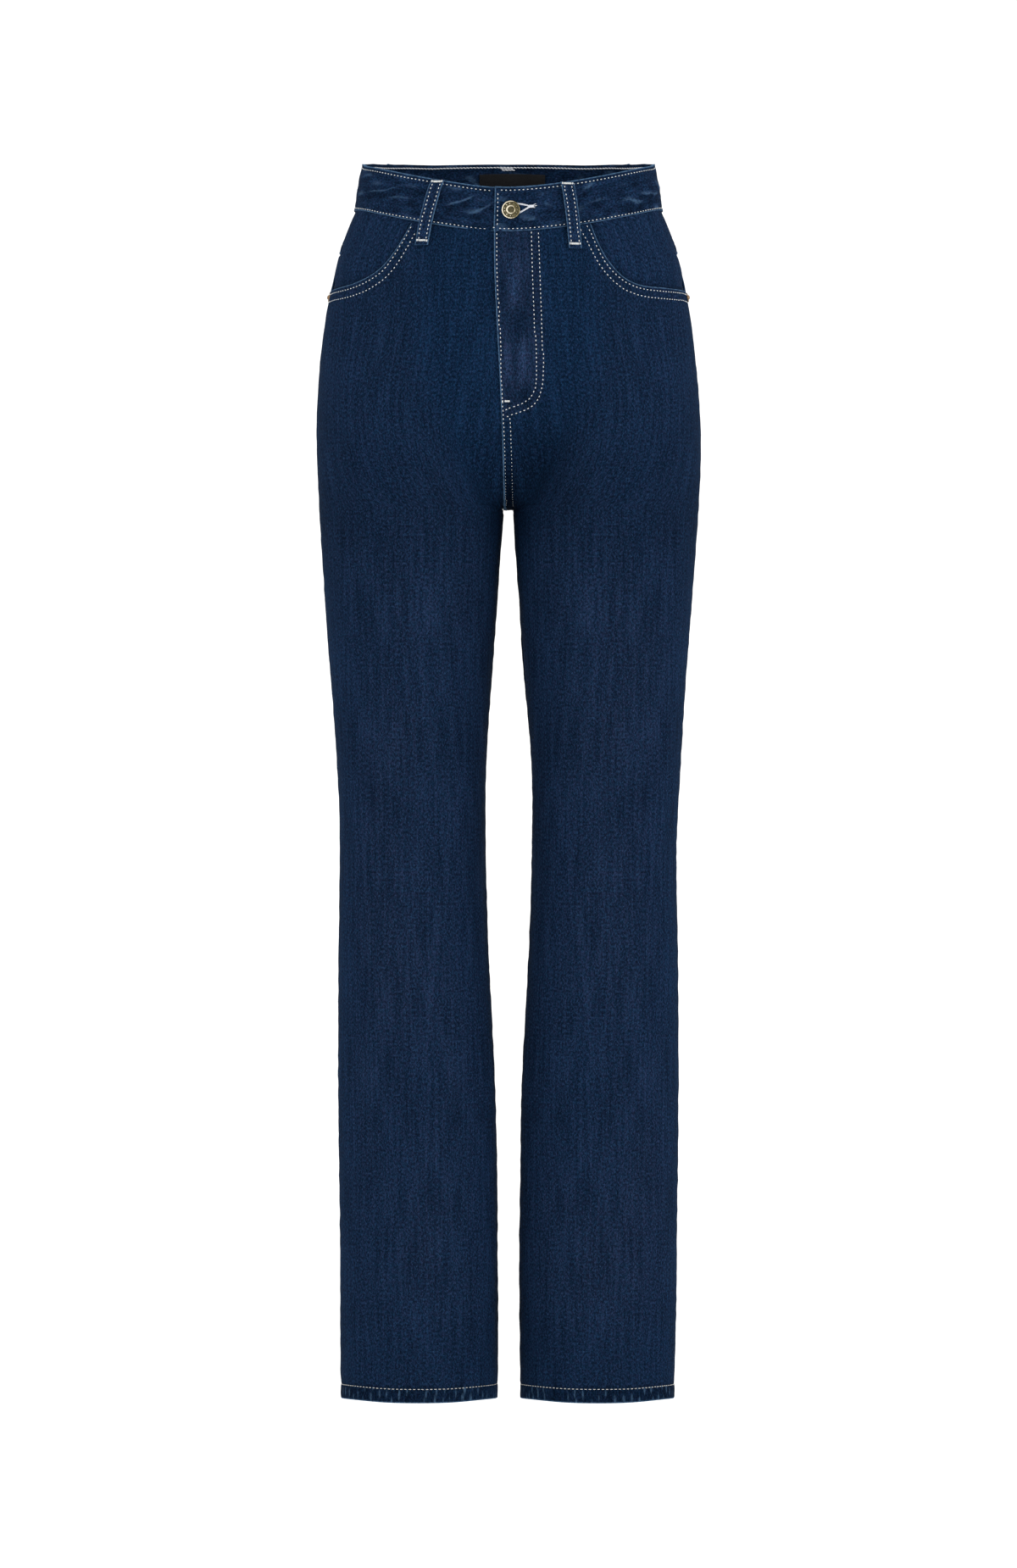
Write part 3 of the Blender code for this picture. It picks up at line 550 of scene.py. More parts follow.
def lay_cloth(name, points, flip):
    """A grid of cloth whose rows and columns of points are given in millimetres."""
    rows, columns = points.shape[:2]
    bpy.ops.object.select_all(action="DESELECT")
    bpy.ops.mesh.primitive_grid_add(x_subdivisions=columns - 1, y_subdivisions=rows - 1, size=1.0)
    made = bpy.context.object
    made.name = made.data.name = name
    flat = read_vectors(made.data.vertices, "co")
    column = np.rint((flat[:, 0] + 0.5) * (columns - 1)).astype(int)
    row = np.rint((0.5 - flat[:, 1]) * (rows - 1)).astype(int)
    made.data.vertices.foreach_set("co", (points[row, column] * MM).ravel())
    if flip:
        made.data.flip_normals()
    made.data.update()
    return made, row, column


def push_out(made, amount):
    """Moves each point along its normal, in millimetres."""
    mesh = made.data
    normals = read_vectors(mesh.vertex_normals, "vector")
    places = read_vectors(mesh.vertices, "co") + normals * amount[:, None] * MM
    mesh.vertices.foreach_set("co", places.ravel())
    mesh.update()


def set_grain(made, across, along):
    """The cloth's own map, in metres: the warp runs along the second direction."""
    mesh = made.data
    layer = mesh.uv_layers[0] if mesh.uv_layers else mesh.uv_layers.new()
    layer.name = "cloth"
    grain = np.stack([across, along], -1)[corner_points(mesh)] * MM
    layer.data.foreach_set("uv", grain.ravel())


def set_value(made, name, values):
    """A value at each point, for the material to read."""
    attribute = made.data.attributes.new(name, "FLOAT", "POINT")
    attribute.data.foreach_set("value", np.asarray(values, float).ravel())


def drop_faces(made, gone):
    """Removes faces, by number, with the points that only they hold."""
    shape = bmesh.new()
    shape.from_mesh(made.data)
    shape.faces.ensure_lookup_table()
    bmesh.ops.delete(shape, geom=[shape.faces[i] for i in np.flatnonzero(gone)],
                     context="FACES")
    shape.to_mesh(made.data)
    shape.free()


def give_wall(made, thickness, thicker=None, edge=SOFT_EDGE):
    """Gives a sheet its wall inwards, with rounded edges; thicker is the wall at each point."""
    wall = made.modifiers.new("Wall", "SOLIDIFY")
    wall.offset = -1.0
    wall.use_even_offset = True
    wall.material_offset = 1
    wall.thickness = thickness * MM
    if thicker is not None:
        most = float(thicker.max())
        group = made.vertex_groups.new(name="thick")
        levels = np.round(thicker / most, 2)
        for level in np.unique(levels):
            group.add(np.flatnonzero(levels == level).tolist(), float(level), "REPLACE")
        wall.vertex_group = "thick"
        wall.thickness = most * MM
    if edge > 0.0:
        fold = made.modifiers.new("Fold", "BEVEL")
        fold.width = edge * MM
        fold.segments = 2
        fold.limit_method = "ANGLE"
        fold.angle_limit = math.radians(55.0)
        fold.use_clamp_overlap = True
    select_only(made)
    for modifier in list(made.modifiers):
        bpy.ops.object.modifier_apply(modifier=modifier.name)
    bpy.ops.object.shade_smooth_by_angle(angle=math.radians(60.0))


def give_panel_wall(made, thickness, gone):
    """Drops the faces that would web the crotch, then gives the panel its uneven wall."""
    set_value(made, "wall", thickness)
    drop_faces(made, gone)
    kept = np.empty(len(made.data.vertices))
    made.data.attributes["wall"].data.foreach_get("value", kept)
    made.data.attributes.remove(made.data.attributes["wall"])
    give_wall(made, DENIM, kept)


def wear_cloth(made, *materials):
    made.data.materials.clear()
    for material in materials:
        made.data.materials.append(material)


def hand_in(made, node):
    """The piece rides on the garment and stands for its node, which is hidden."""
    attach(made, "root")
    if node:
        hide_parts(node)


def make_sheet(node, points, flip, relief, grain, looks, cloths, wall=DENIM, edge=SOFT_EDGE,
               name=None, crotch_row=None):
    """Lays a sheet on its grid of points, shapes it, gives it looks and wall, and hands it in.

    relief, grain and looks are values over the grid: how far each point moves outwards, its
    place across and along the cloth, and what the materials read. A leg panel's wall is such
    a value too, and its lap's columns are cut off below crotch_row.
    """
    made, row, column = lay_cloth(name or node + "_cloth", points, flip)

    def at_points(values):
        return np.broadcast_to(values, points.shape[:2])[row, column]

    push_out(made, at_points(relief))
    set_grain(made, *(at_points(values) for values in grain))
    for look, values in looks.items():
        set_value(made, look, at_points(values))
    wear_cloth(made, *cloths)
    if crotch_row is None:
        give_wall(made, wall, edge=edge)
    else:
        corners = corner_points(made.data).reshape(-1, 4)
        web = (row[corners].min(1) >= crotch_row) & (column[corners].min(1) < LAP_COLUMNS)
        give_panel_wall(made, at_points(wall), web)
    hand_in(made, node)


# ----- relief -----
def crease_relief(x, z, side, face):
    """Soft troughs and ridges of the cloth, at places across and up."""
    total = np.zeros(np.shape(x))
    for crease in CREASES:
        if crease.side != side or crease.face != face:
            continue
        ends = np.array([[crease.x0, crease.z0], [crease.x1, crease.z1]], float)
        bow = np.array([ends[1, 1] - ends[0, 1], ends[0, 0] - ends[1, 0]]) * 0.08
        away, along = distance_to_line(x, z, [ends[0], ends.mean(0) + bow, ends[1]])
        reach = np.linalg.norm(ends[1] - ends[0])
        fade = ease(along / (0.35 * reach)) * ease((reach - along) / (0.45 * reach))
        total += crease.depth * bump(away, crease.width) * (0.25 + 0.75 * fade)
    return total


def seam_relief(distance, along, seed):
    """The dip of a plain seam, the soft bulge of its allowance and its puckers."""
    pucker = wander(along, along * 0.0, seed, 17.0, 6)
    return -0.9 * bump(distance, 1.1) + (0.25 + 0.22 * pucker) * bump(distance - 3.2, 3.0)


def hem_puckers(across, above, seed):
    """The slanting puckers that a stitched hem twists into, from -1 to 1."""
    slant = across / 7.6 + above * 0.026
    drift = 1.5 * wander(across, above * 0.0, seed + 1, 60.0, 6)
    drift += 0.5 * wander(across, above * 0.0, seed + 7, 19.0, 6)
    return np.sin(2.0 * math.pi * slant + drift)


def hem_relief(across, above, seed):
    """The turned hem: its stitched groove and its puckers."""
    uneven = 0.6 + 0.4 * wander(across, above, seed, 46.0, 8)
    window = ease(above / 2.5) * until(above, 10.5, 5.0)
    bulge = 0.12 * ease(above / 3.0) * until(above, 9.5, 3.5)
    row = -0.40 * bump(above - HEM_HEIGHT, 1.15)
    return bulge + row + 0.17 * uneven * hem_puckers(across, above, seed) * window


def worn_ridges(across, above, from_side, hem, seed):
    """Fine ridges that wear light: the hem's puckers and those along the side seam."""
    window = ease((hem + 1.0) / 2.0) * (1.0 - 0.8 * ease((hem - 11.5) / 3.0))
    window *= until(hem, 16.0, 6.0)
    window *= 0.8 + 0.3 * wander(across, hem * 0.0, seed + 9, 31.0, 8)
    side = wander(above, above * 0.0, seed + 2, 17.0, 6) * bump(from_side - 3.0, 3.5)
    return hem_puckers(across, hem, seed) ** 3 * window + 0.22 * side


def groove(x, z, row, deep=0.32, wide=0.95):
    """The dip that a row of stitches pulls into the cloth, with a pucker now and then."""
    away, along = distance_to_line(x, z, row)
    pucker = 1.0 + 0.35 * np.sin(along * 2.0 * math.pi / 7.7)
    return -deep * bump(away, wide) * pucker


def double_row(distance, second=STITCH_FAR):
    """The two grooves of a double row of stitches beside an edge."""
    return bump(distance - STITCH_NEAR, 0.9) + bump(distance - second, 0.9)


def even_hem(x, inner, outer, z):
    """How much lower the hem hangs at its seams, and higher between, than a level cut."""
    away = np.abs((2.0 * x - inner - outer) / (outer - inner))
    near_hem = ease((HEM + 45.0 - z) / 45.0)
    return (1.5 * away ** 14 - 0.65 * bump(away - 0.78, 0.30)) * near_hem


def above_hem(points):
    """Height of each point of a panel above the hem's edge."""
    x, z = points[..., 0], points[..., 2]
    return z - HEM + even_hem(x, x[:, LAP_COLUMNS:LAP_COLUMNS + 1], x[:, -1:], z)


def leg_fade(u, z, seed):
    """How washed out a panel is: greyer down the middle of the leg, deep indigo at its edges."""
    uneven = 0.75 + 0.35 * wander(u * 150.0, z * 0.35, seed, 90.0, 10)
    down = ease((-235.0 - z) / 170.0)
    middle = ease(u / 0.24 + down - 1.0 + 0.2) * ease((1.0 - u) / 0.28)
    kept = 1.0 - 0.45 * ease((-985.0 - z) / 90.0)
    fade = 0.42 * middle + 0.42 * bump(u - 0.52, 0.26) * down * uneven
    return np.clip(fade * kept, 0.0, 1.0)


def fly_streaks(s, z):
    """Pale streaks rubbed down the fly over its folded edge and zip, dark between them."""
    grain = 0.75 + 0.65 * wander(s * 7.0, z * 0.4, 5, 60.0)
    upper = bump(s - 3.0, 9.5) * ease((-60.0 - z) / 20.0) * ease((z + 126.0) / 26.0)
    lower = bump(s - 12.0, 3.2) + 0.6 * bump(s + 1.5, 4.0) + 0.4 * bump(s - 20.0, 2.6)
    lower = lower * ease((-138.0 - z) / 16.0) * ease((z + 190.0) / 14.0)
    dark = bump(s - 9.0, 9.0) * bump(z + 130.0, 15.0) + bump(s - 14.0, 8.0) * bump(z + 196.0, 9.0)
    return 1.25 * (upper + 0.9 * lower) * grain - 0.6 * dark


# ----- leg panels -----
def half_widths(close=0.37):
    """Shares of a panel's width from the middle or inseam to the side seam.

    They lie closer together from the share called close, where a pocket mouth starts.
    """
    parts = ((0.0, 0.05, 6), (0.05, close, 31), (close, close + 0.13, 20), (close + 0.13, 1.0, 48))
    return np.concatenate([[0.0]] + [np.linspace(*part)[1:] for part in parts])


def leg_levels():
    """Heights of the rows of points down a leg, close together in the hem."""
    down = np.linspace(CROTCH, HEM + 16.0, 176)[1:]
    return np.concatenate([down, np.linspace(HEM + 16.0, HEM, 16)[1:]])


def panel_rows(top, u, face, lap_x):
    """Points of a panel from its top edge to the hem, with its lap past the middle first.

    lap_x gives the place across of the lap's edge at a height, below 0 past the middle.
    """
    rows = [form_point(u, top - step, face) for step in np.linspace(0.0, 12.0, 11)]
    rows += [form_point(u, mix(top - 12.0, CROTCH + RISE[face], share), face)
             for share in np.linspace(0.0, 1.0, 15)[1:]]
    rows += [crotch_point(u, np.full_like(u, t), face) for t in np.linspace(0.0, 1.0, 46)[1:]]
    crotch_row = len(rows) - 1
    for z in leg_levels():
        row = form_point(u, z, face)
        row[:, 2] -= even_hem(row[:, 0], row[0, 0], row[-1, 0], z)
        rows.append(row)
    points = np.array(rows)
    laps = np.repeat(points[:, :1], LAP_COLUMNS, 1)
    for lap, row in list(zip(laps, points))[:crotch_row + 1]:
        lap[:, 0] = np.linspace(lap_x(row[0, 2]), row[0, 0], LAP_COLUMNS + 1)[:-1]
        past = lap[:, 0] < 0.0
        for k in (1, 2):
            # past the middle the cloth follows the other half of the form
            lap[past, k] = np.interp(-lap[past, 0], row[:MIDDLE_POINTS, 0],
                                     row[:MIDDLE_POINTS, k])
    return np.concatenate([laps, points], 1), crotch_row


def across_cloth(points):
    """Distance across the cloth from the middle or inseam, level by level."""
    level = travelled(points[..., :2])
    return level - level[:, LAP_COLUMNS:LAP_COLUMNS + 1]


def with_lap(u, s):
    """The shares of a panel's width over its whole grid, 0 in the lap."""
    return np.concatenate([np.zeros(LAP_COLUMNS), u]) + 0.0 * s


def on_cloth(line, face=FRONT):
    """A table row of places seen from in front, as distances across the cloth and heights."""
    places = []
    for x, z in line:
        ring = form_point(np.linspace(0.0, 1.0, 241), z, face)
        away = np.interp(abs(x), ring[:, 0], travelled(ring[:, :2]))
        places.append((math.copysign(away, x), z))
    return places


def panel_relief(points, s, hem, side, face, seed, loose):
    """What every leg panel has: soft unevenness, creases, seams and the stitched hem."""
    x, z = points[..., 0], points[..., 2]
    relief = loose * wander(x, z * 0.45, seed, 110.0)
    relief += crease_relief(x, z, side, face)
    relief += seam_relief(s[:, -1:] - s, z, seed + 2)
    relief += seam_relief(s, z, seed + 3) * ease((CROTCH + 4.0 - z) / 10.0)
    relief += hem_relief(s, hem, seed + 4)
    return relief


def make_front(side, word, cloths):
    """A front from its waist seam and pocket mouth to the hem, lapped or lapping at the fly."""
    start = mouth_start(side)
    shares = half_widths(start - 0.0106)
    top = np.where(shares <= start, waist_seam(shares, FRONT) + 1.0, mouth_height(shares, side))

    def lap_x(z):
        if side == LEFT:
            return -float(lap_reach(z))
        return -mix(1.8, UNDERLAP, float(ease((z + 240.0) / 60.0)))

    points, crotch_row = panel_rows(top, shares, FRONT, lap_x)
    points[:, -1, 1] += FRONT_OVER_BACK
    points[crotch_row:, :LAP_COLUMNS + 1, 1] += FRONT_OVER_BACK
    s, x, z = across_cloth(points), points[..., 0], points[..., 2]
    u = with_lap(shares, s)
    seed = 11 if side == LEFT else 23
    hem = above_hem(points)
    relief = panel_relief(points, s, hem, side, FRONT, seed, 0.55)
    mouth = np.stack([s[0, LAP_COLUMNS:], top], -1)[shares >= start]
    from_mouth, _ = distance_to_line(s, z, mouth)
    relief += 0.75 * until(from_mouth, 8.0, 5.0) * ease(from_mouth / 0.8 + 0.4)
    for line in MOUTH_ROWS[side]:
        relief += groove(s, z, on_cloth(line))
    thick = mix(np.full(s.shape, DENIM), HEM_THICKNESS, until(hem, 11.0, 2.0))
    thick = mix(thick, MOUTH_THICKNESS, until(from_mouth, 8.0, 2.0))
    worn_edge = np.minimum(from_mouth, hem)
    # Painted light: lighter beside the inseam, most down the right calf and the left thigh, where
    # light falls on the inner side of the leg.
    painted_inseam_light = ease((-690.0 - z) / 220.0) if side == RIGHT else ease((z + 600.0) / 200.0)
    tone = bump(u, 0.17) * (0.05 + 0.44 * painted_inseam_light) * ease((-300.0 - z) / 60.0)
    # Darker towards the bottom of the leg and in the hem band; the darkening at crotch height is
    # painted shade.
    tone -= 0.10 * ease((-1030.0 - z) / 60.0) + 0.14 * bump(z + 292.0, 60.0)
    tone -= 0.31 * until(hem, HEM_HEIGHT, 4.0)
    fade = leg_fade(u, z, seed + 5) * (0.4 + 0.6 * ease((hem - 10.0) / 8.0))
    if side == LEFT:
        from_lap = s + lap_reach(z)
        relief += 0.7 * until(from_lap, 7.0, 4.0) * ease((z + 300.0) / 20.0)
        outer = on_cloth(FLY_OUTER_ROW)
        for line in (on_cloth(FLY_EDGE_ROW), on_cloth(CROTCH_SECOND_ROW), on_cloth(FLY_INNER_ROW),
                     outer):
            relief += groove(s, z, line)
        fly_side = np.interp(z, [h for _, h in outer[::-1]], [away for away, _ in outer[::-1]])
        in_fly = until(s, fly_side - 1.0, 3.0) * ease((z + 214.0) / 4.0)
        relief += 0.35 * in_fly
        has_lap = z > CROTCH - 1.0
        thick = mix(thick, LAP_THICKNESS, until(from_lap, 6.0, 2.0) * has_lap)
        # The lap's light worn edge fades out lower down: less wear below the fly, and painted
        # shade towards the crotch.
        less_wear_and_crotch_shade = 0.9 * ease((-190.0 - z) / 24.0) + 1.2 * ease((-246.0 - z) / 36.0)
        lap_edge = np.where(has_lap, from_lap + less_wear_and_crotch_shade, MOST_EDGE)
        worn_edge = np.minimum(worn_edge, lap_edge)
        streaks = fly_streaks(s, z) * in_fly
        tone += 0.50 * streaks - 0.02 * in_fly
        # Painted shade: darker at the crotch seam's lower end and in a patch beside it on the
        # wearer's left, where shade falls between the legs.
        tone -= 0.42 * bump(x - 1.0, 8.0) * ease((-236.0 - z) / 40.0) * (z > CROTCH - 4.0)
        tone -= 0.30 * bump(x - 34.0, 26.0) * bump(z + 256.0, 46.0)
        fade = np.maximum(fade, in_fly * np.clip(0.75 + streaks, 0.0, 1.0))
    else:
        under = until(s, lap_reach(z) + 1.0, 7.0) * ease((z + 296.0) / 4.0)
        relief -= UNDER_DROP * under
    looks = {"fade": fade, "tone": tone, "edge": np.clip(worn_edge, 0.0, MOST_EDGE),
             "ridge": worn_ridges(s, z, s[:, -1:] - s, hem, seed)}
    make_sheet("front_" + word, points * (side, 1.0, 1.0), side * FRONT > 0, relief,
               (s - s[:, -1:] * 0.5, z), looks, cloths, thick, crotch_row=crotch_row)


def make_back(side, word, cloths):
    """A back from the yoke seam to the hem; the left one laps over the right at the seat."""
    shares = half_widths()
    top = mix(YOKE_AT_CENTRE, YOKE_AT_SIDE, shares) + YOKE_TUCK
    lap_edge = -SEAT_LAP if side == LEFT else -BACK_UNDERLAP
    points, crotch_row = panel_rows(top, shares, BACK, lambda z: lap_edge)
    points[:, -1, 1] = np.maximum(points[:, -1, 1], SEAM_CLEAR)
    points[crotch_row:, :LAP_COLUMNS + 1, 1] += SEAM_CLEAR
    s, z = across_cloth(points), points[..., 2]
    u = with_lap(shares, s)
    seed = 37 if side == LEFT else 53
    hem = above_hem(points)
    relief = panel_relief(points, s, hem, side, BACK, seed, 0.7)
    under_yoke = z - mix(YOKE_AT_CENTRE, YOKE_AT_SIDE, u)
    relief -= UNDER_DROP * ease((under_yoke + 3.5) / 4.0)
    worn_edge = hem
    if side == LEFT:
        from_lap = s + SEAT_LAP
        relief += 0.5 * until(from_lap, 9.0, 4.0) * ease((z + 300.0) / 20.0)
        relief -= 0.32 * double_row(from_lap, SEAT_ROW_FAR) * (z > CROTCH)
        worn_edge = np.minimum(hem, np.where(z > CROTCH - 1.0, from_lap, MOST_EDGE))
    else:
        relief -= UNDER_DROP * until(s, SEAT_LAP + 1.0, 6.0) * ease((z + 296.0) / 4.0)
    thick = mix(np.full(s.shape, DENIM), HEM_THICKNESS, until(hem, 11.0, 2.0))
    fade = leg_fade(u, z, seed + 5) * 0.8 + 0.5 * bump(u - 0.55, 0.3) * bump(z + 215.0, 60.0)
    # Painted shade: darker beside the inseam, where the legs shade each other; darker also towards
    # the bottom and in the hem band.
    tone = -0.12 * bump(u, 0.20) * ease((-190.0 - z) / 120.0)
    tone -= 0.08 * ease((-1030.0 - z) / 60.0) + 0.22 * until(hem, HEM_HEIGHT, 4.0)
    looks = {"fade": np.clip(fade, 0.0, 1.0), "tone": tone,
             "edge": np.clip(worn_edge, 0.0, MOST_EDGE),
             "ridge": worn_ridges(s, z, s[:, -1:] - s, hem, seed)}
    make_sheet("back_" + word, points * (side, 1.0, 1.0), side * BACK > 0, relief,
               (s - s[:, -1:] * 0.5, z), looks, cloths, thick, crotch_row=crotch_row)


# ----- yokes and pockets -----
def make_yoke(side, word, cloths):
    """A back yoke; its lower edge laps over the back."""
    u = half_widths()
    upper, lower = waist_seam(u, BACK) + 1.0, mix(YOKE_AT_CENTRE, YOKE_AT_SIDE, u)
    share = np.concatenate([np.linspace(0.0, 0.72, 12), np.linspace(0.72, 1.0, 12)[1:]])
    points = np.array([form_point(u, mix(upper, lower, step), BACK) for step in share])
    lap = np.repeat(points[:, :1], LAP_COLUMNS, 1)
    lap_edge = -SEAT_LAP if side == LEFT else -BACK_UNDERLAP
    lap[..., 0] = np.linspace(lap_edge, 0.0, LAP_COLUMNS + 1)[:-1]
    points = np.concatenate([lap, points], 1)
    points[:, -1, 1] = np.maximum(points[:, -1, 1], SEAM_CLEAR)
    s, z = across_cloth(points), points[..., 2]
    above = z - mix(YOKE_AT_CENTRE, YOKE_AT_SIDE, with_lap(u, s))
    relief = 0.3 * wander(s, z, 61, 60.0) + seam_relief(s[:, -1:] - s, z, 67)
    relief += 0.5 * until(above, 9.0, 4.0)
    relief -= 0.3 * double_row(above)
    worn_edge = above
    if side == LEFT:
        relief += 0.3 * until(s + SEAT_LAP, 9.0, 4.0)
        worn_edge = np.minimum(above, s + SEAT_LAP)
    else:
        relief -= UNDER_DROP * until(s, SEAT_LAP + 1.0, 6.0)
    looks = {"fade": 0.35, "tone": 0.0, "edge": np.clip(worn_edge, 0.0, MOST_EDGE),
             "ridge": 0.35 * wander(s, z * 3.0, 71, 16.0) * (above < 11.0)}
    make_sheet("yoke_" + word, points * (side, 1.0, 1.0), side * BACK > 0, relief, (s, z), looks,
               cloths)


def make_facing(side, word, cloths):
    """The denim that shows behind a pocket mouth, and runs on under the front."""
    start = mouth_start(side)
    u = np.linspace(start - FACING_BEFORE, 1.0, 70)
    upper = waist_seam(u, FRONT) + 1.0
    mouth = np.where(u > start, mouth_height(np.maximum(u, start), side), upper)
    points = np.array([form_point(u, mix(upper, mouth - FACING_BELOW, step), FRONT)
                       for step in np.linspace(0.0, 1.0, 34)])
    points[:, -1, 1] = np.minimum(points[:, -1, 1], -SEAM_CLEAR)
    s, z = travelled(points[..., :2]), points[..., 2]
    s = s - s[:, -1:]
    clear = z - mouth
    relief = -2.3 * until(clear, 3.0, 15.0)
    relief += 0.35 * wander(s, z * 0.6, 83, 42.0) + seam_relief(-s, z, 89) * ease(clear / 6.0)
    # Painted shade: darker where the facing sinks behind the front's turned mouth edge.
    looks = {"fade": 0.35, "tone": 0.12 - 0.45 * bump(clear, 4.0), "edge": MOST_EDGE,
             "ridge": 0.0}
    make_sheet("pocket_facing_" + word, points * (side, 1.0, 1.0), side * FRONT > 0, relief,
               (s, z), looks, cloths, edge=0.0)


def pocket_place(across, down):
    """Share and height on the back of a place in the back pocket, by shares of its sizes."""
    tilt = POCKET_TILT * (across - 0.5) * (1.0 - down)
    point = POCKET_POINT * (1.0 - np.abs(2.0 * across - 1.0)) * down
    z = POCKET_TOP - POCKET_DROP * down + tilt - point
    inner = mix(POCKET_UPPER.inner, POCKET_LOWER.inner, down)
    outer = mix(POCKET_UPPER.outer, POCKET_LOWER.outer, down)
    return share_along(mix(inner, outer, across), z, BACK), z


def make_back_pocket(side, word, cloths):
    """A patch pocket with a turned top edge, sewn on the back."""
    columns, rows = 76, 84
    points = np.array([form_point(*pocket_place(np.linspace(0.0, 1.0, columns), step), BACK)
                       for step in np.linspace(0.0, 1.0, rows)])
    s, z = travelled(points[..., :2]), points[..., 2]
    s = s - s[:, columns // 2:columns // 2 + 1]
    from_top = travelled(np.swapaxes(points, 0, 1)).T
    from_edge = np.minimum(np.minimum(travelled(points), travelled(points[:, ::-1])[:, ::-1]),
                           travelled(np.swapaxes(points[::-1], 0, 1)).T[::-1])
    sewn = until(from_edge, 6.0, 14.0)
    relief = POCKET_LIFT + 0.9 * (1.0 - sewn) + 0.5 * wander(s, z * 0.6, 97 + side, 60.0)
    relief -= 0.4 * double_row(from_edge) * (from_top > 3.0)
    relief += 0.6 * until(from_top, POCKET_HEM, 4.0) - 0.4 * bump(from_top - POCKET_HEM, 1.0)
    relief -= 0.4 * bump(from_edge, 0.8)
    ridge = 0.6 * wander(s * 1.3, z * 1.3, 101 + side, 15.0) * bump(from_edge - 5.0, 4.0)
    looks = {"fade": 0.35 * (1.0 - sewn), "tone": 0.0, "edge": np.minimum(from_edge, from_top),
             "ridge": ridge}
    make_sheet("back_pocket_" + word, points * (side, 1.0, 1.0), side * BACK > 0, relief, (s, z),
               looks, cloths, POCKET_THICKNESS)


# ----- waistband, loops and label -----
def band_place(angle):
    """Share, face and side of the ring round the waist at angles from the centre front."""
    turn = (angle + 180.0) % 360.0 - 180.0
    side = np.where(turn >= 0.0, 1.0, -1.0)
    turn = np.abs(turn)
    front = turn <= 90.0
    return np.where(front, turn / 90.0, (180.0 - turn) / 90.0), front, side


def top_lift(u, face):
    """How much higher the waistband's top edge runs than its lower one, past its height."""
    if face == FRONT:
        return 2.8 * ease((u - 0.80) / 0.20)
    return np.interp(u, (0.0, 0.33, 0.5, 0.76, 0.9, 1.0), (0.3, 2.5, 4.6, 5.7, 4.4, 2.8))


def band_points(angle, share):
    """The waistband's form: share is 0 at its top edge and 1 at its lower edge."""
    u, front, side = band_place(angle)
    points = np.empty(angle.shape + (3,))
    for face, here in ((FRONT, front), (BACK, ~front)):
        height = BAND_HEIGHT + top_lift(u[here], face)
        z = waist_seam(u[here], face) + height * (1.0 - share)
        points[here] = form_point(u[here], z, face)
    points[:, 0] *= side
    return points


def band_lap_degrees():
    return float(share_at(float(lap_reach(SEAM_AT_SIDE)), -30.0)) * 90.0


def fold_fade(along, reach, past, leaving):
    """How a fold rises from its start and dies away at its end, from 0.15 to 1."""
    fade = ease(along / (0.3 * reach)) * ease((past * reach - along) / (leaving * reach))
    return 0.15 + 0.85 * fade


def band_creases(points, s, down):
    """The slanting ridges that the folded strip twists into, each with a trough under it."""
    total = 0.20 * wander(s, down * 2.2, 131, 26.0, 16)
    x, z = points[..., 0], points[..., 2]
    for fold in BAND_FOLDS:
        away, along = distance_to_line(x, z, fold.places)
        under, _ = distance_to_line(x, z + TROUGH_BELOW, fold.places)
        reach = travelled(np.array(fold.places, float)[None])[0, -1]
        ridge = bump(away, fold.width) - 0.75 * bump(under, 2.4)
        total += np.where(points[..., 1] < 0.0,
                          fold.height * ridge * fold_fade(along, reach, 1.04, 0.3), 0.0)
    for crease in BAND_CREASES:
        ends = [(crease.s, crease.down),
                (crease.s + crease.run * 0.5, crease.down + crease.fall * 0.62),
                (crease.s + crease.run, crease.down + crease.fall)]
        away, along = distance_to_line(s, down, ends)
        reach = math.hypot(crease.run, crease.fall)
        ridge = bump(away, crease.width) - 0.45 * bump(away - 5.0, 2.6)
        total += crease.height * ridge * fold_fade(along, reach, 1.05, 0.4)
    return total


def make_waistband(cloths):
    """One folded strip round the waist, its left end over its right end."""
    lap = band_lap_degrees()
    angles = np.concatenate([[-lap, -lap + 0.35], np.linspace(-lap + 1.0, 360.0, BAND_STEPS),
                             [362.0, 364.0, 360.0 + BAND_UNDERLAP]])
    share = np.concatenate([[0.0], np.linspace(0.03, 0.97, 34), [1.0]])
    points = np.array([band_points(angles, step) for step in share])
    s = travelled(points[18:19])[0] + 0.0 * points[..., 0]
    down = share[:, None] * BAND_HEIGHT + 0.0 * s
    relief = BAND_THICKNESS / 2.0 + 0.55 * bump(down - 20.0, 13.0)
    relief -= 0.3 * (bump(down - 2.2, 0.9) + bump(down - BAND_HEIGHT + BAND_ROW_LOW, 0.9))
    waves = band_creases(points, s, down)
    inside = ease((down - 2.0) / 5.0) * ease((BAND_HEIGHT - 2.0 - down) / 5.0)
    relief += waves * (0.25 + 0.75 * inside)
    relief -= (BAND_THICKNESS + 0.3) * ease((angles - 340.0) / 12.0)
    mottle = wander(s, down, 137, 13.0, 22)
    edge = np.minimum(np.minimum(down, BAND_HEIGHT + 0.3 - down), s)
    looks = {"fade": 0.30 + 0.3 * ease(waves / 0.5),
             # Painted light and shade: the folds' ridges are lighter, partly wear and partly
             # painted highlight, and their troughs darker, painted shade; the mottle is the
             # cloth's own uneven tone.
             "tone": 0.05 + 0.55 * np.clip(waves, -0.6, 0.5) + 0.16 * mottle,
             "edge": edge + 1.7 * ease((points[..., 1] + 20.0) / 40.0),
             "ridge": np.clip(waves * 1.3, -1.0, 1.0)}
    make_sheet("waistband", points, False, relief, (down, s), looks, cloths, BAND_THICKNESS, 1.0)


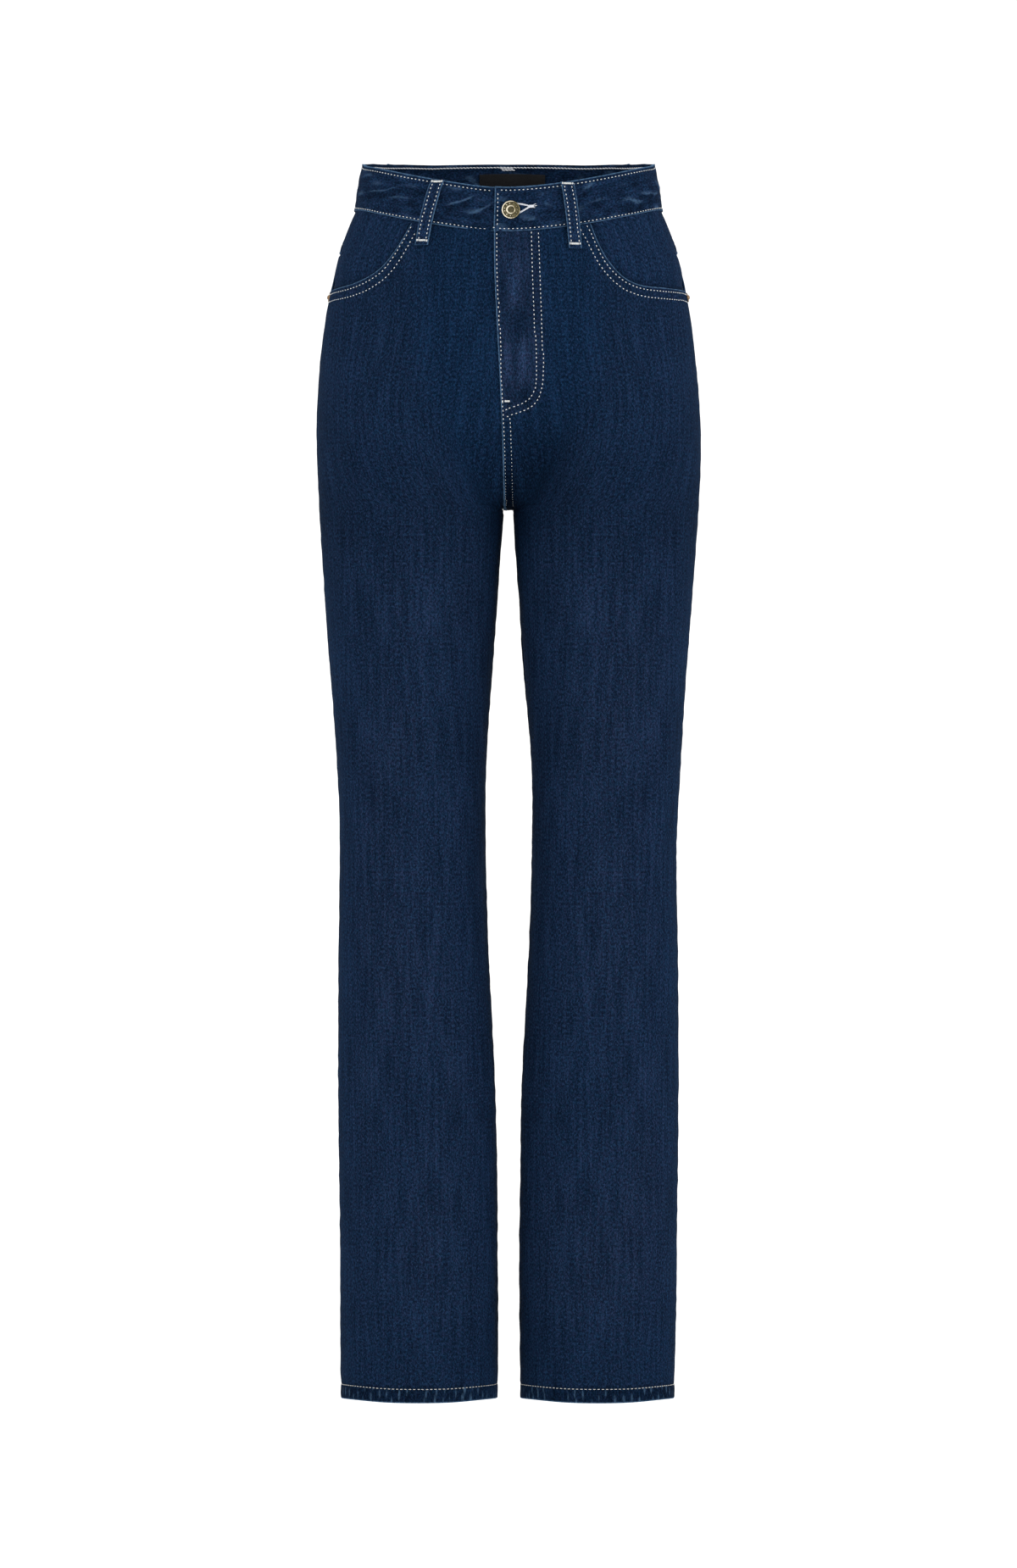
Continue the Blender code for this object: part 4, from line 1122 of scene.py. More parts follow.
def loop_path(count):
    """The side view of a loop's outer face, as out and up at even steps along it."""
    path = np.array([(p.out, p.up) for p in LOOP_PATH])
    along = travelled(path[None])[0]
    steps = np.linspace(0.0, along[-1], count)
    return curve_through(along, path[:, 0], steps), curve_through(along, path[:, 1], steps), steps


def loop_place(loop, across, out, up):
    """A point of a loop: across is a distance from its middle line."""
    share = (LOOP_PATH[0].up - up) / (LOOP_PATH[0].up - LOOP_PATH[-1].up)
    middle = mix(loop.top, loop.bottom, share)
    u = share_at(middle, SEAM_AT_SIDE)
    lift = top_lift(u, loop.face) * np.clip(1.0 + up / BAND_HEIGHT, 0.0, 1.0)
    z = waist_seam(u, loop.face) + BAND_HEIGHT + up + lift
    z = np.minimum(z, SECTIONS[-1].z)
    x = middle + across
    return form_across(x, z, loop.face) + form_outward(x, z, loop.face) * out[..., None]


def make_loop(loop, cloths):
    """A belt loop: a folded strip, tacked at the band's top edge and below it."""
    out, up, steps = loop_path(64)
    half = np.array([0.2, 0.4, 0.6, 0.8, 0.93, 1.0]) * LOOP_WIDTH / 2.0
    across = np.concatenate([-half[::-1], [0.0], half])
    middle_u = share_at(mix(loop.top, loop.bottom, 0.0), SEAM_AT_SIDE)
    lift = np.maximum(up + waist_seam(middle_u, loop.face) + BAND_HEIGHT - SECTIONS[-1].z, 0.0)
    points = loop_place(loop, *np.broadcast_arrays(across[None, :], out[:, None], up[:, None]))
    points[..., 2] += lift[:, None]
    s, down = np.broadcast_arrays(across[None, :], steps[:, None])
    inner = LOOP_WIDTH / 2.0 - np.abs(s)
    relief = 0.30 * bump(inner - 1.6, 1.3) - 0.28 * bump(inner - 2.6, 0.6)
    turn = 2.0 * wander(down, s, 151 + int(abs(loop.top)), 24.0)
    twist = np.sin(down * 2.0 * math.pi / 4.3 + turn)
    relief += 0.14 * twist * bump(inner - 1.2, 1.6)
    relief -= 0.25 * (bump(down - 3.0, 1.2) + bump(down - steps[-1] + 4.5, 1.2))
    to_end = np.minimum(down + 0.6, steps[-1] - down + 0.6)
    looks = {"fade": 0.50, "tone": 0.20 + 0.15 * bump(inner - 3.8, 1.8),
             "edge": 0.25 + np.minimum(inner, to_end),
             "ridge": 0.75 * twist * bump(inner - 1.0, 1.4)}
    make_sheet(loop.name, points, loop.face > 0, relief, (s, down), looks, cloths, LOOP_WALL, 0.6)


def make_label(cloth):
    """A plain label inside the back of the waistband."""
    x = np.linspace(LABEL_FROM, LABEL_TO, 40)
    share = np.linspace(0.0, 1.0, 18)
    top = waist_seam(share_at(x, 0.0), BACK) + BAND_HEIGHT - LABEL_BELOW_TOP
    points = np.array([form_across(x, top - LABEL_HEIGHT * step, BACK) for step in share])
    s = travelled(points)
    down = share[:, None] * LABEL_HEIGHT + 0.0 * s
    edge = np.minimum(np.minimum(s, s[:, -1:] - s), np.minimum(down, LABEL_HEIGHT - down))
    relief = -(BAND_THICKNESS / 2.0 + 0.25) - 0.7 * ease(edge / 7.0)
    relief -= 0.25 * wander(s, down, 171, 22.0)
    make_sheet("label", points, True, relief, (s, down), {"edge": edge}, (cloth, cloth),
               LABEL_THICKNESS, 0.15, name="label_tape")


# ----- metal -----
def turned(name, cap, radius, foot, post, sides):
    """A turned piece from the profiles of its cap and post, on its foot's height."""
    bpy.ops.object.select_all(action="DESELECT")
    bpy.ops.mesh.primitive_circle_add(vertices=3, radius=0.001)
    made = bpy.context.object
    made.name = made.data.name = name
    made.data.clear_geometry()
    profile = [(radius * out, foot + up) for out, up in cap] + list(post)
    points = [(out * MM, 0.0, up * MM) for out, up in profile]
    made.data.from_pydata(points, [(i, i + 1) for i in range(len(points) - 1)], [])
    bpy.ops.object.mode_set(mode="EDIT")
    bpy.ops.mesh.select_all(action="SELECT")
    bpy.ops.mesh.spin(steps=sides, angle=2.0 * math.pi, center=(0.0, 0.0, 0.0),
                      axis=(0.0, 0.0, 1.0))
    bpy.ops.mesh.select_all(action="SELECT")
    bpy.ops.mesh.remove_doubles(threshold=0.00001)
    bpy.ops.mesh.normals_make_consistent(inside=False)
    bpy.ops.object.mode_set(mode="OBJECT")
    bpy.ops.object.shade_smooth_by_angle(angle=math.radians(38.0))
    return made


def stand_on(made, point, normal):
    """Puts a piece's foot at a point, with its axis along a normal, and applies its place."""
    turn = Vector((0.0, 0.0, 1.0)).rotation_difference(Vector(normal))
    place = Matrix.Translation(Vector(point) * MM) @ turn.to_matrix().to_4x4()
    made.data.transform(place)
    made.data.update()


def bead(radius, stretch, place):
    """A small rounded bar, for the ring on the button."""
    bpy.ops.object.select_all(action="DESELECT")
    bpy.ops.mesh.primitive_uv_sphere_add(segments=10, ring_count=6, radius=radius * MM)
    made = bpy.context.object
    made.data.transform(Matrix.Diagonal((stretch, 1.0, 1.0, 1.0)))
    made.data.transform(place)
    bpy.ops.object.shade_smooth()
    return made


def make_button(metal, dark_metal):
    """A tack button: a rounded ridge round a dark middle, a dark ring of bars, a rolled rim."""
    made = turned("button_metal", BUTTON_CAP, BUTTON_RADIUS, BUTTON_FOOT, BUTTON_POST, 72)
    wear_cloth(made, metal, dark_metal)
    for face in made.data.polygons:
        away = math.hypot(face.center.x, face.center.y) / (BUTTON_RADIUS * MM)
        sunk = away < BUTTON_DIMPLE or BUTTON_RING[0] < away < BUTTON_RING[1]
        face.material_index = int(sunk and face.center.z > (BUTTON_FOOT + 1.2) * MM)
    bars = []
    rng = np.random.default_rng(83)
    ring_middle = Matrix.Translation((sum(BUTTON_RING) / 2.0 * BUTTON_RADIUS * MM, 0.0,
                                      (BUTTON_FOOT + 1.75) * MM))
    for number in range(BUTTON_BARS):
        angle = 2.0 * math.pi * (number + rng.uniform(-0.22, 0.22)) / BUTTON_BARS
        lean = Matrix.Rotation(rng.uniform(-0.6, 0.6), 4, "Z")
        place = Matrix.Rotation(angle, 4, "Z") @ ring_middle @ lean
        bars.append(bead(rng.uniform(0.34, 0.50), rng.uniform(1.2, 2.1), place))
        wear_cloth(bars[-1], metal)
    select_only(made, *bars)
    bpy.ops.object.join()
    point = form_across(BUTTON_ACROSS, BUTTON_HEIGHT, FRONT)
    normal = form_outward(np.array([BUTTON_ACROSS]), np.array([BUTTON_HEIGHT]), FRONT)[0]
    stand_on(made, point, normal)
    hand_in(made, "button")


def make_rivet(side, word, metal):
    """A pocket rivet: a rounded cap with a raised middle, its post and its burr."""
    made = turned("rivet_" + word + "_metal", RIVET_CAP, RIVET_RADIUS, 0.0, RIVET_POST, 40)
    u = np.array([RIVET_PLACE, RIVET_PLACE + 0.01, RIVET_PLACE])
    z = np.array([RIVET_HEIGHT, RIVET_HEIGHT, RIVET_HEIGHT + 1.0])
    place, along, up = form_point(u, z, FRONT)
    normal = np.cross(along - place, up - place)
    normal *= np.sign(normal[0]) / np.linalg.norm(normal)
    stand_on(made, place * (side, 1.0, 1.0), normal * (side, 1.0, 1.0))
    wear_cloth(made, metal)
    hand_in(made, "rivet_" + word)


# ----- thread -----
class Cloths:
    """Finished cloth that stitches are laid on."""

    def __init__(self, *names):
        graph = bpy.context.evaluated_depsgraph_get()
        self.trees = [BVHTree.FromObject(bpy.data.objects[name + "_cloth"], graph)
                      for name in names]

    def nearest(self, place):
        """The nearest point of the cloth to a place in millimetres, and its normal."""
        best = None
        for tree in self.trees:
            found, normal, _, distance = tree.find_nearest(Vector(place) * MM)
            if found is not None and (best is None or distance < best[2]):
                best = (np.array(found) / MM, np.array(normal), distance)
        if best is None:
            raise RuntimeError("no cloth under a stitch")
        return best[0], best[1]


def stitch_form():
    """One stitch: a plump drop of thread whose ends dive into the cloth."""
    bpy.ops.object.select_all(action="DESELECT")
    bpy.ops.mesh.primitive_uv_sphere_add(segments=6, ring_count=4, radius=1.0)
    made = bpy.context.object
    made.data.transform(Matrix.Rotation(math.pi / 2.0, 4, "Y"))
    places = read_vectors(made.data.vertices, "co")
    faces = [tuple(face.vertices) for face in made.data.polygons]
    bpy.data.objects.remove(made, do_unlink=True)
    places[:, 0] = np.sign(places[:, 0]) * np.abs(places[:, 0]) ** 0.75
    places[:, 2] -= 0.75 * places[:, 0] ** 4
    return places, faces


def read_along(at, along, line):
    """A line's places at distances along it; along is how far each of its points lies."""
    return np.stack([np.interp(at, along, line[:, k]) for k in range(line.shape[1])], -1)


def walk(line, pitch):
    """Evenly spaced places and directions along a line of points."""
    along = travelled(line[None])[0]
    count = max(int(along[-1] / pitch), 1)
    spare = along[-1] - (count - 1) * pitch
    at = spare * 0.5 + pitch * np.arange(count)
    ahead = read_along(at + 0.6, along, line) - read_along(at - 0.6, along, line)
    ahead /= np.maximum(np.linalg.norm(ahead, axis=-1, keepdims=True), 1e-9)
    return read_along(at, along, line), ahead


def unit(vector):
    return vector / np.linalg.norm(vector, axis=-1, keepdims=True)


class Sewing:
    """Gathers stitches, then makes them one mesh."""

    def __init__(self, seed):
        self.form, self.faces = stitch_form()
        self.rng = np.random.default_rng(seed)
        self.places, self.strand = [], []

    def add(self, centre, ahead, normal, size, stretch=1.0, lift=0.12):
        across = unit(np.cross(normal, ahead))
        ahead = np.cross(across, normal)
        turn = self.rng.normal(0.0, 0.035)
        ahead, across = ahead + across * turn, across - ahead * turn
        own = self.form * (size.length * stretch / 2.0, size.radius, size.radius)
        middle = centre + normal * lift
        self.places.append(middle + own[:, :1] * ahead + own[:, 1:2] * across
                           + own[:, 2:] * normal)
        self.strand.append(self.rng.uniform(0.0, 1.0))

    def row(self, line, cloth, size, taper=0.0):
        """A row of stitches along a guide line that runs close to the cloth.

        taper is how much smaller the stitches get towards the crotch.
        """
        for place, direction in zip(*walk(np.asarray(line, float), size.pitch)):
            centre, normal = cloth.nearest(place)
            if abs(np.dot(normal, direction)) > 0.9:
                continue
            share = 1.0 - taper * float(ease((-215.0 - place[2]) / 60.0))
            own = StitchSize(size.pitch, size.length * share, size.radius * share)
            self.add(centre, direction, normal, own, self.rng.uniform(0.94, 1.05))

    def tack(self, ends, cloth, width):
        """A bar tack: close stitches laid side by side between the ends of a line."""
        size = TACK_STITCH._replace(length=width)
        for place, direction in zip(*walk(ends[[0, -1]], size.pitch)):
            centre, normal = cloth.nearest(place)
            self.add(centre, np.cross(normal, direction), normal, size,
                     self.rng.uniform(0.9, 1.12), lift=0.22)

    def finish(self, name, thread):
        points = np.concatenate(self.places) * MM
        size = len(self.form)
        faces = [tuple(corner + size * n for corner in face)
                 for n in range(len(self.places)) for face in self.faces]
        mesh = bpy.data.meshes.new(name)
        mesh.from_pydata(points.tolist(), [], faces)
        made = bpy.data.objects.new(name, mesh)
        bpy.context.collection.objects.link(made)
        set_value(made, "strand", np.repeat(self.strand, size))
        select_only(made)
        bpy.ops.object.shade_smooth()
        wear_cloth(made, thread)
        hand_in(made, None)


def over_form(line, side=LEFT, out=3.0):
    """A table row of places seen from in front, as a guide line over the form."""
    line = np.asarray(line, float)
    along = travelled(line[None])[0]
    places = read_along(np.linspace(0.0, along[-1], max(int(along[-1]), 2) + 1), along, line)
    for _ in range(ROUNDING if len(line) > 4 else 0):
        places[1:-1] = (places[:-2] + 2.0 * places[1:-1] + places[2:]) / 4.0
    x, z = places.T
    return (form_across(x, z, FRONT) + form_outward(x, z, FRONT) * out) * (side, 1.0, 1.0)


def over_ring(u, z, face, side, out=3.0):
    """Shares of a panel's width and heights, as a guide line just off the form."""
    points = form_point(u, z, face)
    away = points * (1.0, 1.0, 0.0)
    away[:, 0] -= np.where(z < CROTCH, (section(z).outer + section(z).inner) / 2.0, 0.0)
    return (points + unit(away) * out) * (side, 1.0, 1.0)


def sew_front(thread):
    """Fly, crotch and pocket mouths."""
    sewing = Sewing(201)
    left = Cloths("front_left")
    for line, taper in ((FLY_EDGE_ROW, CROTCH_TAPER), (CROTCH_SECOND_ROW, CROTCH_TAPER),
                        (FLY_INNER_ROW, 0.0), (FLY_OUTER_ROW, 0.0)):
        sewing.row(over_form(line), left, TOPSTITCH, taper)
    sewing.tack(over_form(FLY_TACK), left, 1.9)
    for side, word in SIDES:
        cloth = Cloths("front_" + word)
        for line in MOUTH_ROWS[side]:
            x, z = line[-1]
            u = np.linspace(float(share_at(x, z)), 0.985, 30)[1:]
            onward = over_ring(u, np.linspace(z, z - 0.4, 30)[1:], FRONT, side, 1.0)
            guide = np.concatenate([over_form(line, side, 1.0), onward])
            sewing.row(guide, cloth, TOPSTITCH)
    sewing.finish("front_topstitching", thread)


def sew_hems(thread):
    """One row round each leg."""
    sewing = Sewing(211)
    u = np.linspace(0.004, 0.996, 260)
    z = np.full_like(u, HEM + HEM_HEIGHT)
    for side, word in SIDES:
        for face, name in ((FRONT, "front_"), (BACK, "back_")):
            ring = over_ring(u, z, face, side, 0.3)
            ring[:, 2] -= even_hem(ring[:, 0], ring[0, 0], ring[-1, 0], z)
            sewing.row(ring, Cloths(name + word), HEM_STITCH)
    sewing.finish("hem_stitching", thread)


def off_band(angles, share, out):
    """A guide line round the waistband, a distance out from it."""
    line = band_points(angles, share)
    return line + unit(line * (1.0, 1.0, 0.0)) * out


def sew_waistband(thread):
    """A row along each edge of the waistband and down its left end."""
    sewing = Sewing(221)
    band = Cloths("waistband")
    lap = band_lap_degrees()
    angles = np.linspace(-lap + 1.0, 359.6 - lap, 900)
    for share in (BAND_ROW_TOP / BAND_HEIGHT, 1.0 - BAND_ROW_LOW / BAND_HEIGHT):
        sewing.row(off_band(angles, share, 4.0), band, BAND_STITCH)
    share = np.linspace(0.07, 0.93, 30)
    end = np.array([band_points(np.array([-lap + 0.95]), step)[0] for step in share])
    sewing.row(end + (0.0, -4.0, 0.0), band, BAND_STITCH)
    sewing.finish("waistband_topstitching", thread)


def sew_band_inside(thread):
    """The thick chained row along the top of the waistband's inner face, at the back."""
    sewing = Sewing(229)
    band = Cloths("waistband")
    guide = off_band(np.linspace(64.0, 296.0, 700), 3.9 / BAND_HEIGHT, -4.0)
    up = np.array([0.0, 0.0, 1.0])
    for place, direction in zip(*walk(guide, ROPE_STITCH.pitch)):
        centre, normal = band.nearest(place)
        sewing.add(centre + up * 0.1, unit(direction + up * 0.26), normal, ROPE_STITCH,
                   sewing.rng.uniform(0.95, 1.05), lift=0.5)
    for number in range(8):
        place = np.array([mix(-6.0, 4.0, number / 7.0), 88.0, 25.0 - 0.8 * (number % 2)])
        centre, normal = band.nearest(place)
        sewing.add(centre, np.array([0.96, 0.0, -0.2]), normal, StitchSize(2.0, 3.4, 0.7),
                   sewing.rng.uniform(0.9, 1.1), lift=0.5)
    sewing.finish("waistband_inner_row", thread)


def sew_loops(thread):
    """Two rows down each belt loop and a bar tack at each end."""
    sewing = Sewing(233)
    out, up, _ = loop_path(60)
    kept = slice(3, 56)
    row, tack = LOOP_WIDTH / 2.0 - 2.6, LOOP_WIDTH / 2.0 - 0.9
    for loop in LOOPS:
        cloth = Cloths(loop.name)
        for across in (-row, row):
            line = loop_place(loop, np.full_like(out[kept], across), out[kept] + 2.0, up[kept])
            sewing.row(line, cloth, TOPSTITCH)
        for index in (kept.start - 1, kept.stop - 1):
            ends = loop_place(loop, np.array([-tack, tack]), np.full(2, out[index] + 2.0),
                              np.full(2, up[index]))
            sewing.tack(ends, cloth, 2.0)
    sewing.finish("belt_loop_topstitching", thread)


def sew_back(thread):
    """Seat, yokes and back pockets."""
    sewing = Sewing(239)
    left = Cloths("back_left", "yoke_left")
    for side, word in SIDES:
        yoke = Cloths("yoke_" + word)
        u = np.linspace(0.03 if side == LEFT else 0.035, 0.995, 240)
        for above in (STITCH_NEAR, STITCH_FAR):
            z = mix(YOKE_AT_CENTRE, YOKE_AT_SIDE, u) + above
            sewing.row(over_ring(u, z, BACK, side), yoke, TOPSTITCH)
        sew_back_pocket(sewing, side, word)
    for from_lap in (STITCH_NEAR, SEAT_ROW_FAR):
        t = np.linspace(0.0, 0.985, 90)
        below = crotch_point(np.zeros_like(t), t, BACK)
        down = np.linspace(-12.0, CROTCH + RISE[BACK], 60)
        above = body_ring(np.zeros_like(down), down, BACK)
        line = np.concatenate([above[:-1], below])
        line[:, 0] = -SEAT_LAP + from_lap
        out = unit(np.gradient(line, axis=0)[:, [0, 2, 1]] * (0.0, -1.0, 1.0))
        sewing.row(line + out, left, TOPSTITCH)
    sewing.finish("back_topstitching", thread)


def sew_back_pocket(sewing, side, word):
    """Two rows round the pocket, one under its mouth and a bar tack at each corner."""
    cloth = Cloths("back_pocket_" + word)

    def guide(across, down):
        u, z = pocket_place(*np.broadcast_arrays(across, down))
        return over_ring(u, z, BACK, side, 4.0)

    width = POCKET_UPPER.outer - POCKET_UPPER.inner
    for away in (STITCH_NEAR, STITCH_FAR):
        a, d = away / width, away / POCKET_DROP
        down = np.linspace(0.02, 1.0 - d, 50)
        sewing.row(np.concatenate([guide(a, down),
                                   guide(np.linspace(a, 1.0 - a, 60)[1:-1], 1.0 - d),
                                   guide(1.0 - a, down[::-1])]), cloth, TOPSTITCH)
    far = STITCH_FAR / width
    sewing.row(guide(np.linspace(far, 1.0 - far, 50), POCKET_HEM / POCKET_DROP), cloth, TOPSTITCH)
    for corner in (0.5 / width, 1.0 - 9.0 / width):
        sewing.tack(guide(np.array([corner, corner + 8.0 / width]), 0.025), cloth, 2.4)


def sew_buttonhole(thread):
    """The thread round the buttonhole's end, its bar and its frayed tails."""
    sewing = Sewing(251)
    band = Cloths("waistband")
    for lip in HOLE_LIPS:
        for place, direction in zip(*walk(over_form(lip), HOLE_STITCH.pitch)):
            centre, normal = band.nearest(place)
            across = np.cross(normal, direction) + 0.35 * direction
            sewing.add(centre, unit(across), normal, HOLE_STITCH,
                       sewing.rng.uniform(0.85, 1.15), lift=0.35)
    bar = over_form(HOLE_BAR)
    for shift in (-0.9, -0.3, 0.3, 0.9):
        sewing.row(bar + (0.0, 0.0, shift), band, StitchSize(2.2, 3.8, 0.42))
    for tail in HOLE_TAILS:
        sewing.row(over_form(tail), band, StitchSize(1.9, 2.9, 0.30))
    sewing.finish("buttonhole_thread", thread)


# ----- finishes -----
class Finish:
    """A material, built node by node."""

    def __init__(self, name, roughness, metallic=0.0, specular=0.5):
        self.material = bpy.data.materials.new(name)
        self.material.use_nodes = True
        self.tree = self.material.node_tree
        self.shader = self.tree.nodes["Principled BSDF"]
        self.shader.inputs["Roughness"].default_value = roughness
        self.shader.inputs["Metallic"].default_value = metallic
        self.shader.inputs["Specular IOR Level"].default_value = specular

    def node(self, kind, inputs=None, **settings):
        made = self.tree.nodes.new("ShaderNode" + kind)
        for name, value in settings.items():
            setattr(made, name, value)
        for key, value in (inputs or {}).items():
            if isinstance(value, bpy.types.NodeSocket):
                self.tree.links.new(value, made.inputs[key])
            else:
                made.inputs[key].default_value = value
        return made

    def maths(self, operation, *values):
        return self.node("Math", dict(enumerate(values)), operation=operation).outputs[0]

    def times(self, a, b):
        return self.maths("MULTIPLY", a, b)

    def times_add(self, a, b, c):
        return self.maths("MULTIPLY_ADD", a, b, c)

    def span(self, value, low, high, to_low=0.0, to_high=1.0):
        """value taken smoothly from low..high to to_low..to_high."""
        made = self.node("MapRange", {"Value": value, "From Min": low, "From Max": high,
                                      "To Min": to_low, "To Max": to_high},
                         interpolation_type="SMOOTHSTEP")
        return made.outputs["Result"]

    def noise(self, vector, scale, detail=2.0, roughness=0.5):
        made = self.node("TexNoise", {"Vector": vector, "Scale": scale, "Detail": detail,
                                      "Roughness": roughness})
        return made.outputs["Fac"]

    def yarns(self, grain, across, along, detail=2.0, roughness=0.6):
        """Noise on the cloth, with its own scale across and along the warp."""
        made = self.node("Mapping", {"Vector": grain, "Scale": (across, along, 1.0)})
        return self.noise(made.outputs["Vector"], 1.0, detail, roughness)

    def ribs(self, vector, scale, distortion, direction):
        made = self.node("TexWave", {"Vector": vector, "Scale": scale, "Distortion": distortion,
                                     "Detail": 1.0}, bands_direction=direction)
        return made.outputs["Fac"]

    def blend(self, factor, a, b, how="MIX"):
        """Two colours blended; sockets 6 and 7 are the ones for colours."""
        made = self.node("Mix", {0: factor, 6: a, 7: b}, data_type="RGBA", blend_type=how)
        return made.outputs[2]

    def value(self, name):
        return self.node("Attribute", attribute_name=name).outputs["Fac"]

    def cloth_map(self):
        return self.node("UVMap", uv_map="cloth").outputs["UV"]

    def places(self):
        return self.node("TexCoord").outputs["Object"]

    def colour(self, socket):
        self.tree.links.new(socket, self.shader.inputs["Base Color"])

    def height(self, socket, strength, distance):
        made = self.node("Bump", {"Height": socket, "Strength": strength, "Distance": distance})
        self.tree.links.new(made.outputs["Normal"], self.shader.inputs["Normal"])


def shaded(colour, share=1.0):
    """An opaque colour, darker or lighter by a share."""
    return tuple(c * share for c in colour) + (1.0,)


def twill(finish, grain, pitch):
    """Slanting twill lines, from 0 between them to 1 on top."""
    parts = finish.node("SeparateXYZ", {0: grain})
    across = finish.times(parts.outputs["X"], 0.88 / pitch)
    phase = finish.times_add(parts.outputs["Y"], 0.47 / pitch, across)
    phase = finish.times_add(finish.yarns(grain, 700.0, 220.0, roughness=0.5), 0.9, phase)
    wave = finish.maths("SINE", finish.times(phase, 2.0 * math.pi))
    return finish.times_add(wave, 0.5, 0.5)


def denim_finish(name, look, brightness=1.0):
    """Indigo twill: slubs along the warp, pale weft specks, washing, worn folds, and painted light
    and shade.
    """
    finish = Finish(name, 0.92, specular=look.gloss)
    times, times_add = finish.times, finish.times_add
    grain = finish.cloth_map()
    lines = twill(finish, grain, look.twill_pitch)
    yarn = finish.yarns(grain, 1500.0, 520.0)
    grit = finish.yarns(grain, 660.0, 420.0)
    slub = finish.yarns(grain, 300.0, 17.0, 3.0)
    cloud = finish.yarns(grain, 34.0, 15.0, 3.0)
    hue = finish.yarns(grain, 420.0, 210.0)

    mixed = times_add(yarn, 0.30, times(grit, 0.55))
    for part, share in ((slub, 0.22), (cloud, 0.12), (lines, 0.05)):
        mixed = times_add(part, share, mixed)
    paleness = finish.maths("POWER", finish.span(mixed, 0.44, 0.79), 1.7)
    dark, pale = 0.40, 1.95
    base = finish.blend(paleness, shaded(look.warp, dark * brightness),
                        shaded(look.warp, pale * brightness))
    fade = times(finish.value("fade"), finish.span(slub, 0.25, 0.7, 0.45, 1.0))
    faded = finish.blend(paleness, shaded(look.faded, dark), shaded(look.faded, pale))
    base = finish.blend(times(fade, look.fading), base, faded)
    base = finish.blend(finish.span(hue, 0.38, 0.62, 0.0, 0.8), base, (0.62, 1.06, 1.0, 1.0),
                        "MULTIPLY")
    speck = times(finish.span(yarn, 0.55, 0.75), finish.span(grit, 0.45, 0.65))
    base = finish.blend(times(speck, look.speckle), base, shaded(look.weft))

    # The look read here multiplies the colour: the cloth's own lighter and darker places, with
    # painted light beside the front inseams and painted shade at the crotch, back inseams,
    # waistband folds and facings.
    tone = finish.maths("ADD", finish.value("tone"), 1.0)
    tint = finish.node("CombineColor", {0: tone, 1: tone, 2: tone}).outputs[0]
    base = finish.blend(1.0, base, tint, "MULTIPLY")

    broken = finish.span(finish.yarns(grain, 420.0, 300.0, 3.0, 0.5), 0.3, 0.62, 0.3, 1.0)
    edge = times(finish.span(finish.value("edge"), 1.4, 0.15), broken)
    base = finish.blend(times(edge, look.edge_wear), base, shaded(look.worn))
    rubbed = finish.span(finish.value("ridge"), 0.15, 0.8, 0.0, look.edge_wear * 0.6)
    finish.colour(finish.blend(times(rubbed, broken), base, shaded(look.worn, 0.75)))

    relief = times_add(yarn, 0.6, times_add(lines, 0.5, times(grit, 0.7)))
    finish.height(relief, 0.6, 0.00025)
    return finish.material


def reverse_finish(name, look):
    """The inner side of the cloth, where the pale weft shows between indigo lines."""
    finish = Finish(name, 0.95, specular=0.1)
    grain = finish.cloth_map()
    lines = twill(finish, grain, look.twill_pitch)
    slub = finish.yarns(grain, 90.0, 900.0, 3.0)
    base = finish.blend(finish.span(slub, 0.3, 0.7), shaded(look.reverse, 0.8),
                        shaded(look.reverse, 1.15))
    finish.colour(finish.blend(finish.times(finish.span(lines, 0.45, 0.95), 0.45), base,
                               shaded(look.warp, 3.0)))
    finish.height(finish.maths("ADD", lines, slub), 0.5, 0.00022)
    return finish.material


def thread_finish(name, colour):
    """Twisted sewing thread: fine slanting plies, no two stitches quite alike."""
    finish = Finish(name, 0.75, specular=0.25)
    finish.shader.inputs["Sheen Weight"].default_value = 0.15
    places = finish.places()
    plies = finish.ribs(places, 900.0, 2.0, "DIAGONAL")
    fuzz = finish.noise(places, 2600.0)
    base = finish.blend(finish.span(plies, 0.2, 0.8), shaded(colour, 0.80), shaded(colour))
    dimmer = (colour[0] * 0.70, colour[1] * 0.74, colour[2] * 0.82, 1.0)
    finish.colour(finish.blend(finish.span(finish.value("strand"), 0.0, 1.0, 0.0, 0.28), base,
                               dimmer))
    finish.height(finish.times_add(fuzz, 0.5, plies), 0.5, 0.00012)
    return finish.material


def metal_finish(name, colour, tarnish, roughness, painted_shade_over=0.0):
    """Aged metal: darker tarnish in patches, with a grain that breaks its gloss.

    The last argument is the length over which painted shade darkens the metal towards the wearer's
    left, on the button's shaded side.
    """
    finish = Finish(name, roughness, metallic=1.0)
    places = finish.places()
    patches = finish.span(finish.noise(places, 620.0, 4.0, 0.6), 0.38, 0.66)
    grain = finish.noise(places, 5200.0)
    # Painted shade: the metal darkens towards the wearer's left, as the button's shaded side; the
    # patches before this are the metal's own tarnish.
    if painted_shade_over:
        across = finish.node("SeparateXYZ", {0: places}).outputs["X"]
        painted_shade_side = finish.span(across, -0.25 * painted_shade_over, 0.65 * painted_shade_over, 0.0, 1.1)
        patches = finish.times_add(patches, 0.45, painted_shade_side)
    base = finish.blend(finish.span(patches, 0.0, 1.3), shaded(colour), shaded(tarnish))
    finish.colour(finish.blend(finish.span(grain, 0.35, 0.7, 0.0, 0.25), base, shaded(tarnish)))
    rough = finish.times_add(patches, 0.12, roughness - 0.06)
    finish.tree.links.new(rough, finish.shader.inputs["Roughness"])
    finish.height(finish.times_add(grain, 0.6, patches), 0.25, 0.0001)
    return finish.material


